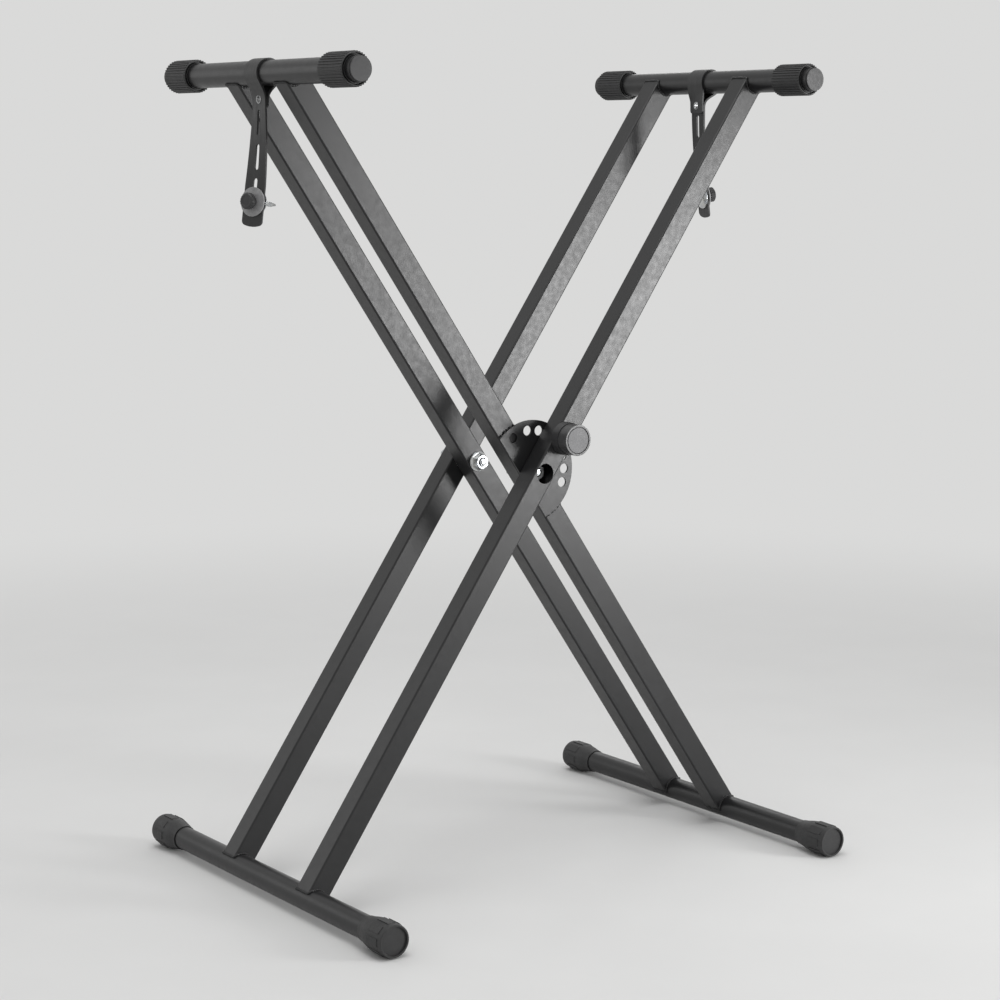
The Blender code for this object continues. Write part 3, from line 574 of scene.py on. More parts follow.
class STAND_OT_bars(bpy.types.Operator):
    """Makes the round top bars and foot bars"""
    bl_idname = "stand.bars"
    bl_label = "Bars"

    def execute(self, context):
        """Turns a tube for each bar."""
        sizes = context.scene.stand_sizes
        radius, inside = sizes.bar_radius, sizes.bar_radius - sizes.bar_wall
        for name, body in BARS.items():
            low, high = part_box(name)
            half = (high.y - low.y) / 2
            bar = turned(name + "_tube", [(radius, -half), (radius, half), (inside, half), (inside, -half)],
                         FINEST, closed=True)
            soften(bar, sizes.edge, 3)
            centre = middle(name)
            dress(bar, along_y(centre.x, 0.0, centre.z), paint(), "powder_coat", body, name)
        return {"FINISHED"}


# Steps of a bead along a flat side and round a corner, and the waves of its ripple
BEAD_STEPS = 28
BEAD_CORNER_STEPS = 4
BEAD_RIPPLE = 0.34
BEAD_SWELL = 0.16


def weld_line(end, reach):
    """Points of a bead round a leg's end, where its outside meets the bar, in the leg's own axes."""
    sizes = bpy.context.scene.stand_sizes
    half = sizes.tube_side / 2
    corner = sizes.tube_corner
    flat = half - corner
    outline = []
    for turn in range(4):
        heading = Matrix.Rotation(turn * math.pi / 2, 2)
        for i in range(BEAD_STEPS):
            outline.append(heading @ Vector((half, -flat + 2 * flat * i / BEAD_STEPS)))
        for i in range(BEAD_CORNER_STEPS):
            angle = math.pi / 2 / BEAD_CORNER_STEPS * i
            bend = Vector((math.cos(angle), math.sin(angle))) * corner
            outline.append(heading @ (Vector((flat, flat)) + bend))
    points = []
    for x, y in outline:
        across = max(-reach + 1e-5, min(reach - 1e-5, x))
        down = math.sqrt(reach * reach - across * across)
        points.append(Vector((x, y, end - math.copysign(down, end))))
    return points


class STAND_OT_welds(bpy.types.Operator):
    """Lays a weld bead round each leg's two ends"""
    bl_idname = "stand.welds"
    bl_label = "Welds"

    def execute(self, context):
        """Sweeps a rippled bead along the line where leg and bar meet."""
        sizes = context.scene.stand_sizes
        reach = sizes.bar_radius + sizes.weld_radius / 2
        for name, lean, body in LEGS:
            for label, end in (("top", LEG_UP), ("foot", -LEG_DOWN)):
                points = weld_line(end, reach)
                curve = bpy.data.curves.new("bead", "CURVE")
                curve.dimensions = "3D"
                curve.bevel_depth = sizes.weld_radius
                curve.bevel_resolution = 4
                line = curve.splines.new("POLY")
                line.points.add(len(points) - 1)
                line.use_cyclic_u = True
                for i, point in enumerate(points):
                    line.points[i].co = (*point, 1.0)
                    line.points[i].radius = (
                        1.0 + BEAD_RIPPLE * math.sin(i * 2.1) + BEAD_SWELL * math.sin(i * 0.4 + lean))
                bead = bpy.data.objects.new(f"{name}_{label}_weld", curve)
                context.collection.objects.link(bead)
                only(bead)
                bpy.ops.object.convert(target="MESH")
                bead = context.object
                bead.data.name = bead.name
                smooth(bead, 60.0)
                dress(bead, leg_frame(name, lean), paint(), "powder_coat", body)
        return {"FINISHED"}


# Sleeves, plugs and foot caps

SLEEVE_LIP = 0.0136
SLEEVE_RIM = 0.0151
SLEEVE_RECESS = 0.0030
SLEEVE_SHOULDER = 0.0006
SLEEVE_RIB_SLOPE = 0.00022
SLEEVE_ROUND = 0.00016


def at_bar_ends(model, level, piece, ending, surface, slot):
    """Copies a finished piece to the ends of the two top or foot bars. The model is removed."""
    for side in ("left", "right"):
        bar = f"{level}_bar_{side}"
        for end, way in (("near", -1), ("far", 1)):
            node = f"{piece}_{side}_{end}"
            copy = model.copy()
            copy.data = model.data.copy()
            copy.name = copy.data.name = f"{node}_{ending}"
            bpy.context.collection.objects.link(copy)
            dress(copy, facing(middle(bar), way), surface, slot, BARS[bar], node)
    bpy.data.objects.remove(model)


class STAND_OT_sleeves(bpy.types.Operator):
    """Makes the four ribbed sleeves on the top bars"""
    bl_idname = "stand.sleeves"
    bl_label = "Sleeves"

    def execute(self, context):
        """Turns a sleeve with recessed ends and raises its ribs by an inset."""
        sizes = context.scene.stand_sizes
        start, end, _ = depths("sleeve_left_far")
        bore = sizes.bar_radius + CLEAR
        core = sizes.sleeve_radius - sizes.sleeve_rib
        shoulder = SLEEVE_SHOULDER
        rows = [
            (bore, start), (SLEEVE_LIP, start), (SLEEVE_LIP, start + SLEEVE_RECESS),
            (SLEEVE_RIM, start + SLEEVE_RECESS), (SLEEVE_RIM, start), (core - sizes.edge, start),
            (core, start + sizes.edge), (core, start + shoulder), (core, end - shoulder),
            (core, end - sizes.edge), (core - sizes.edge, end), (SLEEVE_RIM, end),
            (SLEEVE_RIM, end - SLEEVE_RECESS), (SLEEVE_LIP, end - SLEEVE_RECESS), (SLEEVE_LIP, end),
            (bore, end)]
        sleeve = turned("sleeve", rows, 2 * sizes.ribs, closed=True)
        raise_ridges(sleeve, sizes.ribs, core, start + shoulder, end - shoulder, SLEEVE_RIB_SLOPE,
                     sizes.sleeve_rib)
        soften(sleeve, SLEEVE_ROUND, 2, 30.0, 40.0)
        at_bar_ends(sleeve, "top", "sleeve", "ribbed", rubber(), "rubber")
        return {"FINISHED"}


PLUG_CHAMFER = 0.0006
PLUG_ROUND = 0.0005


class STAND_OT_plugs(bpy.types.Operator):
    """Makes the plugs in the top bars' ends"""
    bl_idname = "stand.plugs"
    bl_label = "Bar plugs"

    def execute(self, context):
        """Turns a plug with a flat face."""
        sizes = context.scene.stand_sizes
        tail, face, flange = depths("bar_plug_left_far")
        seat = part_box("top_bar_left")[1].y + CLEAR
        spigot = sizes.bar_radius - sizes.bar_wall - CLEAR
        plug = turned("plug", [
            (spigot - PLUG_CHAMFER, tail), (spigot, tail + PLUG_CHAMFER), (spigot, seat), (flange, seat),
            (flange, face), (flange / 2, face)])
        soften(plug, PLUG_ROUND, 3, 30.0)
        at_bar_ends(plug, "top", "bar_plug", "turned", plastic(), "plastic")
        return {"FINISHED"}


CAP_PADS = 8
CAP_PAD_HALF = 0.0046
CAP_PAD_LOW = 0.2110
CAP_PAD_HIGH = 0.2300
CAP_SWELL = 0.2070
CAP_MOUTH_RADIUS = 0.0136
CAP_END_RADIUS = 0.0164
CAP_DISH_RADIUS = 0.0146
CAP_DISH = 0.0022
CAP_DISH_SLOPE = 0.0004
CAP_SHOULDER = 0.0004
CAP_TAPER = 0.0002
CAP_TAPER_LENGTH = 0.0016
CAP_FLARE_STEPS = 10
# Share of the flare that runs straight: the rest eases in and out
CAP_STRAIGHT = 0.35
CAP_PAD_INSET = 0.0003
CAP_ROUND = 0.0003


class STAND_OT_foot_caps(bpy.types.Operator):
    """Makes the four flared foot caps"""
    bl_idname = "stand.foot_caps"
    bl_label = "Foot caps"

    def execute(self, context):
        """Turns a flared cap, raises its flat pads and dishes its end."""
        sizes = context.scene.stand_sizes
        low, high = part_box("foot_cap_left_far")
        mouth, end = low.y, high.y
        bore = sizes.bar_radius + CLEAR
        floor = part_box("foot_bar_left")[1].y + CLEAR
        flat = (high.z - low.z) / 2
        swell = sizes.cap_radius - CAP_SHOULDER
        rows = [(bore, mouth)]
        for i in range(CAP_FLARE_STEPS + 1):
            share = i / CAP_FLARE_STEPS
            ease = share * share * (3 - 2 * share)
            rows.append((CAP_MOUTH_RADIUS + (swell - CAP_MOUTH_RADIUS) * (CAP_STRAIGHT * share
                                                                          + (1 - CAP_STRAIGHT) * ease),
                         mouth + (CAP_SWELL - mouth) * share))
        rows += [
            (sizes.cap_radius, CAP_PAD_LOW), (sizes.cap_radius, CAP_PAD_HIGH),
            (sizes.cap_radius - CAP_TAPER, end - CAP_TAPER_LENGTH), (CAP_END_RADIUS, end),
            (CAP_DISH_RADIUS, end), (CAP_DISH_RADIUS - CAP_DISH_SLOPE, end - CAP_DISH),
            (CAP_DISH_RADIUS / 2, end - CAP_DISH + CAP_DISH_SLOPE)]
        # The solid starts at the bore's floor and comes back over the mouth to the dished end
        cap = turned("cap", [(bore, floor)] + rows)
        bpy.ops.object.mode_set(mode="EDIT")
        period = 2 * math.pi / CAP_PADS
        half_angle = math.atan(CAP_PAD_HALF / flat)

        def on_pad(place, normal):
            turn = (math.atan2(place.y, place.x) + period / 2) % period - period / 2
            outer = math.hypot(place.x, place.y) > sizes.cap_radius * 0.98
            return outer and CAP_PAD_LOW < place.z < CAP_PAD_HIGH and abs(turn) < half_angle

        pick_faces(cap, on_pad)
        bpy.ops.mesh.inset(thickness=CAP_PAD_INSET, depth=0.0)
        bpy.ops.mesh.extrude_region_move(TRANSFORM_OT_translate={"value": (0, 0, 0)})
        mesh = bmesh.from_edit_mesh(cap.data)
        for vert in mesh.verts:
            if vert.select:
                turn = math.atan2(vert.co.y, vert.co.x)
                pad = round(turn / period) * period
                grow = flat / math.cos(turn - pad) / math.hypot(vert.co.x, vert.co.y)
                vert.co.x *= grow
                vert.co.y *= grow
        bmesh.update_edit_mesh(cap.data)
        close()
        soften(cap, CAP_ROUND, 2, 28.0)
        at_bar_ends(cap, "foot", "foot_cap", "flared", rubber(), "rubber")
        return {"FINISHED"}


# Lock plate, pivots and pull pin

PLATE_RADIUS = 0.0548
PLATE_STEPS = 180
PLATE_HOLE_RADIUS = 0.0053
PLATE_ROUND = 0.00025
# Turn of frame B, in degrees, at which the pin faces each hole
PLATE_STOPS = (41.1, 21.7, 0.0, -18.6, -37.3, -55.9, -75.3, 67.2)
TACKS = 8
TACK_RADIUS = 0.0012
# Where the tacks start across the leg, how far they run and how unevenly they lie, in shares
TACK_START = -0.84
TACK_RUN = 1.66
TACK_SCATTER = 0.3


class STAND_OT_lock_plate(bpy.types.Operator):
    """Makes the drilled lock plate"""
    bl_idname = "stand.lock_plate"
    bl_label = "Lock plate"

    def execute(self, context):
        """Presses a disc, drills the pin's holes and trims it along the near leg."""
        sizes = context.scene.stand_sizes
        front, back, _ = depths("lock_disc")
        thick = back - front
        plate = turned("lock_plate_pressed", [(PLATE_RADIUS, 0.0), (PLATE_RADIUS, thick)], PLATE_STEPS)
        holes = [(0.0, 0.0, BOLT_RADIUS + CLEAR)]
        for stop in PLATE_STOPS:
            angle = LEG_TILT - math.radians(stop)
            holes.append((PIN_RING * math.sin(angle), PIN_RING * math.cos(angle), PLATE_HOLE_RADIUS))
        for x, z, radius in holes:
            cutter = rod("plate_cutter", radius, -thick, 2 * thick)
            # In the plate's own axes local Y points down
            carve(plate, settle(cutter, Matrix.Translation((x, -z, 0.0))))
        edit(plate)
        cos, sin = math.cos(LEG_TILT), math.sin(LEG_TILT)
        edge = -sizes.tube_side / 2
        bpy.ops.mesh.bisect(plane_co=(edge * cos, -edge * sin, 0.0), plane_no=(-cos, sin, 0.0),
                            use_fill=True, clear_outer=True)
        close()
        soften(plate, PLATE_ROUND, 2, 50.0, 30.0)
        dress(plate, along_y(0.0, front, PIVOT_Z), paint(), "powder_coat", "frame_a", "lock_disc")
        self.tacks((front + back) / 2, thick)
        return {"FINISHED"}

    def tacks(self, depth, thick):
        """Small weld tacks where the plate's edge crosses the leg that it sits on."""
        half = bpy.context.scene.stand_sizes.tube_side / 2
        leg = Matrix.Translation((0.0, depth, PIVOT_Z)) @ Matrix.Rotation(-LEG_TILT, 4, "Y")
        for label, way in (("upper", 1), ("lower", -1)):
            for i in range(TACKS):
                uneven = i + TACK_SCATTER * math.sin(4.0 * i)
                across = half * (TACK_START + TACK_RUN * uneven / (TACKS - 1))
                begin()
                bpy.ops.mesh.primitive_uv_sphere_add(segments=20, ring_count=12, radius=TACK_RADIUS,
                                                     location=(0, 0, 0))
                tack = named(f"lock_plate_tack_{label}_{i + 1}")
                edit()
                bpy.ops.transform.resize(
                    value=(1.25 - 0.25 * (i % 3), thick / 2 / TACK_RADIUS + 0.3, 0.95 + 0.2 * (i % 2)),
                    center_override=(0, 0, 0))
                close()
                smooth(tack, 80.0)
                along = way * math.sqrt(PLATE_RADIUS ** 2 - across ** 2)
                turn = Matrix.Rotation(-math.atan2(across, along) + (0.0 if way > 0 else math.pi), 4, "Y")
                place = leg @ Matrix.Translation((across, 0.0, along)) @ turn
                dress(tack, place, paint(), "powder_coat", "frame_a")


HEXAGON_STEPS = 72
HEXAGON_ROUND = 0.00015
BOLT_HEAD_FLATS = 0.0170
BOLT_HEAD = 0.0064
HEAD_DISH = 0.0004
THREAD_STEPS = 40
THREAD_PITCH = 0.00125
# Shares of a thread's pitch: its depth and where its crest starts and ends
THREAD_DEPTH = 0.42
THREAD_CREST = (0.45, 0.55)
# Shares of a cut bolt end's radius, from its ring to its raised middle, and its groove's depth
TIP_RING = 0.76
TIP_GROOVE = 0.66
TIP_MIDDLE = 0.54
TIP_CROWN = 0.36
TIP_DEEP = 0.0007
NUT_FLATS = 0.0160
FLANGE_RADIUS = 0.0110
FLANGE_RIM = 0.0016
FLANGE_NUT_FLATS = 0.0145


def hexagon(name, flats, low, high, chamfer, bore=None, dish=None):
    """A hexagon along local Z with its corners turned down, bored, dished at its low end or plain."""
    begin()
    bpy.ops.mesh.primitive_cylinder_add(vertices=6, radius=flats / math.sqrt(3), depth=high - low,
                                        location=(0, 0, (low + high) / 2))
    piece = named(name)
    bpy.ops.object.transform_apply(location=True)
    inner = flats / 2 - chamfer * 0.2
    outer = flats / math.sqrt(3) + chamfer
    slope = (outer - inner) * 0.45
    hollow = [(dish, low + HEAD_DISH), (dish, low)] if dish else []
    rows = hollow + [(inner, low), (outer, low + slope), (outer, high - slope), (inner, high)]
    carve(piece, turned("hexagon_cutter", rows, HEXAGON_STEPS), "INTERSECT")
    if bore:
        carve(piece, rod("bore_cutter", bore, low - chamfer, high + chamfer))
    soften(piece, HEXAGON_ROUND, 2, 25.0, 30.0)
    return piece


def threaded(name, radius, low, high, pitch, head=(), point=0.0, point_radius=None):
    """A rod along local Z with thread ridges from low to high and a pointed or cut tip."""
    root = radius - pitch * THREAD_DEPTH
    rows = [*head, (root, low)]
    height = low
    while height + pitch < high - max(point, pitch):
        rows += [(radius, height + pitch * share) for share in THREAD_CREST]
        rows.append((root, height + pitch))
        height += pitch
    rows.append((root, high - max(point, pitch / 2)))
    if point:
        rows.append((point_radius, high))
    else:
        rows += [(radius * TIP_RING, high), (radius * TIP_GROOVE, high - TIP_DEEP),
                 (radius * TIP_MIDDLE, high - TIP_DEEP), (radius * TIP_CROWN, high - TIP_DEEP / 4)]
    piece = turned(name, rows, THREAD_STEPS)
    smooth(piece, 38.0)
    return piece


def washer(name, radius, bore, low, high, edge, steps=FINE):
    """A flat washer along local Z with rounded edges."""
    piece = turned(name, [(bore, low), (radius, low), (radius, high), (bore, high)], steps, closed=True)
    soften(piece, edge, 3)
    return piece


def pivot_bolt(node, threads):
    """A hexagon bolt whose head is at its back and whose thread ends in front."""
    front, back, _ = depths(node)
    shank = back - front - BOLT_HEAD
    head = hexagon(node + "_head", BOLT_HEAD_FLATS, -BOLT_HEAD, 0.0, 0.0016, dish=BOLT_HEAD_FLATS / 3)
    shaft = threaded(node + "_shank", BOLT_RADIUS, shank - threads, shank, THREAD_PITCH,
                     [(BOLT_RADIUS, 0.0), (BOLT_RADIUS, shank - threads - 0.0005)])
    for piece in (head, shaft):
        dress(piece, towards_front(0.0, back - BOLT_HEAD, PIVOT_Z), zinc(), "zinc_steel", "frame_a", node)


def pivot_ring(node, edge):
    """A washer or spacer on the fold line."""
    front, back, radius = depths(node)
    piece = washer(node + "_ring", radius, BOLT_RADIUS + CLEAR, 0.0, back - front, edge)
    dress(piece, along_y(0.0, front, PIVOT_Z), zinc(), "zinc_steel", "frame_a", node)


class STAND_OT_pivots(bpy.types.Operator):
    """Makes the two pivot bolts with their nuts, washer and spacer"""
    bl_idname = "stand.pivots"
    bl_label = "Pivots"

    def execute(self, context):
        """Places each fastener on the fold line."""
        bore = BOLT_RADIUS + CLEAR
        pivot_bolt("pivot_bolt_front", 0.013)
        pivot_bolt("pivot_bolt_back", 0.015)
        pivot_ring("pivot_washer_front", 0.0003)
        front, back, _ = depths("pivot_nut_front")
        nut = hexagon("pivot_nut_front_hexagon", NUT_FLATS, 0.0, back - front, 0.0014, bore)
        dress(nut, along_y(0.0, front, PIVOT_Z), satin_zinc(), "zinc_steel", "frame_a", "pivot_nut_front")
        pivot_ring("pivot_spacer_back", 0.0004)
        front, back, _ = depths("pivot_nut_back")
        nut = hexagon("pivot_nut_back_flanged", FLANGE_NUT_FLATS, FLANGE_RIM / 2, back - front, 0.0013, bore)
        flange = turned("flange", [
            (bore, 0.0), (FLANGE_RADIUS, 0.0), (FLANGE_RADIUS, FLANGE_RIM * 0.6),
            (FLANGE_NUT_FLATS / 2, FLANGE_RIM * 1.3), (bore, FLANGE_RIM * 1.3)], closed=True)
        round_edges(flange, 0.00025, 2, 20.0)
        carve(nut, flange, "UNION")
        clean(nut)
        smooth(nut, 30.0)
        dress(nut, towards_front(0.0, back, PIVOT_Z), zinc(), "zinc_steel", "frame_a", "pivot_nut_back")
        return {"FINISHED"}


PIN_NOSE = 0.0028
PIN_NOSE_RADIUS = 0.0024
PIN_CHAMFER = 0.0008
PIN_STEPS = 64
# The pin's shoulder, from the leg's front
PIN_SHOULDER = (0.0160, 0.0180)
COLLAR_FIT = 0.0004
COLLAR_FLOOR = 0.0020
COLLAR_DRAFT = 0.0003
DISC_RADIUS = 0.0139
DISC_FACE_RADIUS = 0.0133
DISC_RING_RADIUS = 0.0070
DISC_RECESS = 0.0012
DISC_STEP = 0.0009
DISC_SUNK = 0.0001
TURNED_ROUND = 0.0003
SMALL_ROUND = 0.0002
SPRING_WIRE = 0.0008
SPRING_TURNS = 5
SPRING_STEPS = 36
WIRE_STEPS = 12


class STAND_OT_pull_pin(bpy.types.Operator):
    """Makes the collar, the pull knob, the pin and its spring"""
    bl_idname = "stand.pull_pin"
    bl_label = "Pull pin"

    def execute(self, context):
        """Turns each piece on the pin's line."""
        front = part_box("b_leg_front")[0].y
        place = along_y(PIN.x, front, PIN.z)
        low, high, radius = depths("pin_housing", front)
        knob_low, knob_high, knob_radius = depths("pull_knob", front)
        well = knob_radius + COLLAR_FIT
        bush_bore = PIN_BUSH_RADIUS + CLEAR
        collar = turned("pin_housing_collar", [
            (bush_bore, high), (radius, high), (radius - COLLAR_DRAFT, low), (well, low),
            (well, high - COLLAR_FLOOR), (bush_bore, high - COLLAR_FLOOR)], FINEST, closed=True)
        soften(collar, TURNED_ROUND, 3)
        dress(collar, place, plastic(), "plastic", "frame_b", "pin_housing")
        low, high, radius = depths("pin_ferrule", front)
        bush = washer("pin_ferrule_bush", radius, PIN_RADIUS + PIN_FIT, low, high, TURNED_ROUND, COARSE)
        dress(bush, place, zinc(), "zinc_steel", "frame_b", "pin_ferrule")
        inset = DISC_RADIUS + CLEAR
        shaft = PIN_RADIUS + CLEAR
        seat = knob_low + DISC_RECESS + CLEAR
        knob = turned("pull_knob_moulded", [
            (shaft, knob_high), (knob_radius, knob_high), (knob_radius, knob_low), (inset, knob_low),
            (inset, seat), (shaft, seat)], FINEST, closed=True)
        soften(knob, TURNED_ROUND, 3)
        dress(knob, place, knob_plastic(), "knob_plastic", "pull_pin", "pull_knob")
        face = turned("knob_insert_disc", [
            (DISC_RADIUS, seat - CLEAR), (DISC_RADIUS, knob_low + DISC_STEP),
            (DISC_FACE_RADIUS, knob_low + DISC_STEP), (DISC_FACE_RADIUS, knob_low + DISC_SUNK),
            (DISC_RING_RADIUS, knob_low + DISC_SUNK)], FINEST)
        soften(face, SMALL_ROUND, 3, 35.0, 30.0)
        dress(face, place, knob_disc(), "knob_face", "pull_pin", "knob_insert")
        tail, tip, shoulder = depths("lock_pin", front)
        shoulder_low, shoulder_high = PIN_SHOULDER
        pin = turned("lock_pin_turned", [
            (PIN_RADIUS, tail), (PIN_RADIUS, shoulder_low), (shoulder, shoulder_low),
            (shoulder, shoulder_high), (PIN_RADIUS, shoulder_high),
            (PIN_RADIUS, tip - PIN_NOSE - PIN_RADIUS + PIN_NOSE_RADIUS),
            (PIN_NOSE_RADIUS, tip - PIN_NOSE), (PIN_NOSE_RADIUS, tip - PIN_CHAMFER),
            (PIN_NOSE_RADIUS - PIN_CHAMFER, tip)], PIN_STEPS)
        soften(pin, SMALL_ROUND, 2, 24.0)
        dress(pin, place, zinc(), "zinc_steel", "pull_pin", "lock_pin")
        self.spring()
        return {"FINISHED"}

    def spring(self):
        """Sweeps a wire into a coil."""
        low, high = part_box("pin_spring")
        long = high.y - low.y
        coil_radius = (high.x - low.x) / 2 - SPRING_WIRE / 2
        begin()
        bpy.ops.mesh.primitive_circle_add(vertices=WIRE_STEPS, radius=SPRING_WIRE / 2,
                                          location=(coil_radius, 0, SPRING_WIRE / 2),
                                          rotation=(math.pi / 2, 0, 0))
        coil = named("pin_spring_coil")
        bpy.ops.object.transform_apply(location=True, rotation=True)
        modifier(coil, "SCREW", axis="Z", iterations=SPRING_TURNS, steps=SPRING_STEPS,
                 render_steps=SPRING_STEPS, screw_offset=(long - SPRING_WIRE) / SPRING_TURNS)
        edit()
        bpy.ops.mesh.fill_holes(sides=0)
        face_out()
        smooth(coil, 50.0)
        dress(coil, along_y(PIN.x, low.y, PIN.z), zinc(), "zinc_steel", "frame_b", "pin_spring")
        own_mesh(coil)


# Straps

STRAP_PINCH = 0.0208
STRAP_TAIL_END = 0.0340
STRAP_LENGTH = 0.1510
STRAP_FLAT_FROM = 0.1105
STRAP_TWIST_FROM = 0.0360
STRAP_SLOTS = ((0.0360, 0.0615), (0.0695, 0.0950), (0.1030, 0.1295))
STRAP_SLOT_HALF = 0.0026
STRAP_SLOT_STEPS = 40
STRAP_ARC_STEPS = 40
STRAP_TAIL_STEPS = 16
STRAP_BLANK_STEPS = (140, 12)
STRAP_RIM = 0.00022
STRAP_RIM_WIDTH = 0.0022
STRAP_RIM_END = 0.002
STRAP_RIM_SLOPE = 0.0003
STRAP_ROUND = 0.0003
# Depth of the straps' middle
STRAP_Y = -0.002
EYELET_Z = 0.0255
EYELET_RADIUS = 0.0037
STRAP_END_ROUND = 0.0035
STRAP_ARCH = 0.0026
STRAP_ARCH_FROM = 0.0120
# Keeps a cutter's edges off the blank's grid lines
OFF_GRID = 0.00004
# The side, bar, sideways shift, lean, bow, turn and twist of a strap
Hang = namedtuple("Hang", "side bar shift lean bow turn twist")
HANGS = {
    "left": Hang(-1, TOP_LEFT, 0.0030, math.radians(1.8), 0.60, 0.0, math.radians(21.5)),
    "right": Hang(1, TOP_RIGHT, -0.0093, math.radians(1.0), 0.82, math.radians(8.0), math.radians(6.5)),
}


def clamped(value):
    """A share held between none and all."""
    return min(1.0, max(0.0, value))


def strap_turn(hang, down):
    """Turn of the band about the vertical at a depth below the bar."""
    under = bpy.context.scene.stand_sizes.bar_radius
    hung = clamped((down - under) / (STRAP_PINCH - under))
    free = clamped((down - STRAP_TWIST_FROM) / (STRAP_FLAT_FROM - STRAP_TWIST_FROM))
    return hang.turn * hung + hang.twist * free


def strap_line(hang):
    """Centre line of the band as (outward, down) points, its corners rounded."""
    sizes = bpy.context.scene.stand_sizes
    shift, lean, bow = hang.shift, hang.lean, hang.bow
    layer = sizes.strap_thickness / 2 + CLEAR / 2
    radius = sizes.bar_radius + CLEAR + sizes.strap_thickness / 2
    leaving = []
    for sign in (-1, 1):
        foot = (shift + sign * layer, STRAP_PINCH)
        spread_angle = math.acos(radius / math.hypot(*foot))
        leaving.append((math.atan2(foot[1], foot[0]) - sign * spread_angle) % (2 * math.pi))
    sweep = 2 * math.pi - leaving[0] + leaving[1]
    points = [(shift - layer, STRAP_TAIL_END), (shift - layer, STRAP_PINCH)]
    for i in range(STRAP_ARC_STEPS + 1):
        angle = leaving[0] + sweep * i / STRAP_ARC_STEPS
        points.append((radius * math.cos(angle), radius * math.sin(angle)))
    points += [(shift + layer, STRAP_PINCH), (shift + layer, STRAP_TAIL_END)]
    flat = STRAP_FLAT_FROM - STRAP_TAIL_END
    for i in range(1, STRAP_TAIL_STEPS + 1):
        past = flat * i / STRAP_TAIL_STEPS
        points.append((shift + layer + past * math.tan(lean) + bow * past * past, STRAP_TAIL_END + past))
    past = STRAP_LENGTH - STRAP_TAIL_END
    points.append((shift + layer + past * math.tan(lean) + bow * flat * (2 * past - flat), STRAP_LENGTH))
    # Each pass cuts every corner at a quarter of its sides
    for _ in range(3):
        cut = [points[0]]
        for a, b in zip(points, points[1:]):
            cut.append((a[0] * 0.75 + b[0] * 0.25, a[1] * 0.75 + b[1] * 0.25))
            cut.append((a[0] * 0.25 + b[0] * 0.75, a[1] * 0.25 + b[1] * 0.75))
        points = cut + [points[-1]]
    return points


def measured(points):
    """Distance along the line at each of its points."""
    run = [0.0]
    for a, b in zip(points, points[1:]):
        run.append(run[-1] + math.hypot(b[0] - a[0], b[1] - a[1]))
    return run


def distance_at(points, run, down, last):
    """Distance along the line where one of its two ends passes a depth."""
    order = range(len(points) - 1, 0, -1) if last else range(1, len(points))
    for i in order:
        a, b = points[i - 1], points[i]
        if min(a[1], b[1]) <= down <= max(a[1], b[1]) and a[1] != b[1]:
            return run[i - 1] + (run[i] - run[i - 1]) * (down - a[1]) / (b[1] - a[1])
    raise ValueError("the strap's line doesn't reach that depth")


def strap_point(hang, points, run, along, width, height):
    """Place of a point of the flat blank on the hanging band."""
    side, bar = hang.side, hang.bar
    i = 1
    while i < len(run) - 1 and run[i] < along:
        i += 1
    share = (along - run[i - 1]) / (run[i] - run[i - 1])
    a, b = points[i - 1], points[i]
    before, after = points[max(i - 2, 0)], points[min(i + 1, len(points) - 1)]
    start = Vector((b[0] - before[0], b[1] - before[1])).normalized()
    end = Vector((after[0] - a[0], after[1] - a[1])).normalized()
    heading = (start.lerp(end, share)).normalized()
    out, down = a[0] + (b[0] - a[0]) * share, a[1] + (b[1] - a[1]) * share
    run_3d = Vector((side * heading.x, 0.0, -heading.y)).normalized()
    across = Matrix.Rotation(side * -strap_turn(hang, down), 3, "Z") @ Vector((0.0, 1.0, 0.0))
    across = (across - run_3d * across.dot(run_3d)).normalized()
    thick = run_3d.cross(across) * -side
    centre = Vector((bar.x + side * out, STRAP_Y, bar.z - down))
    return centre + across * width + thick * height


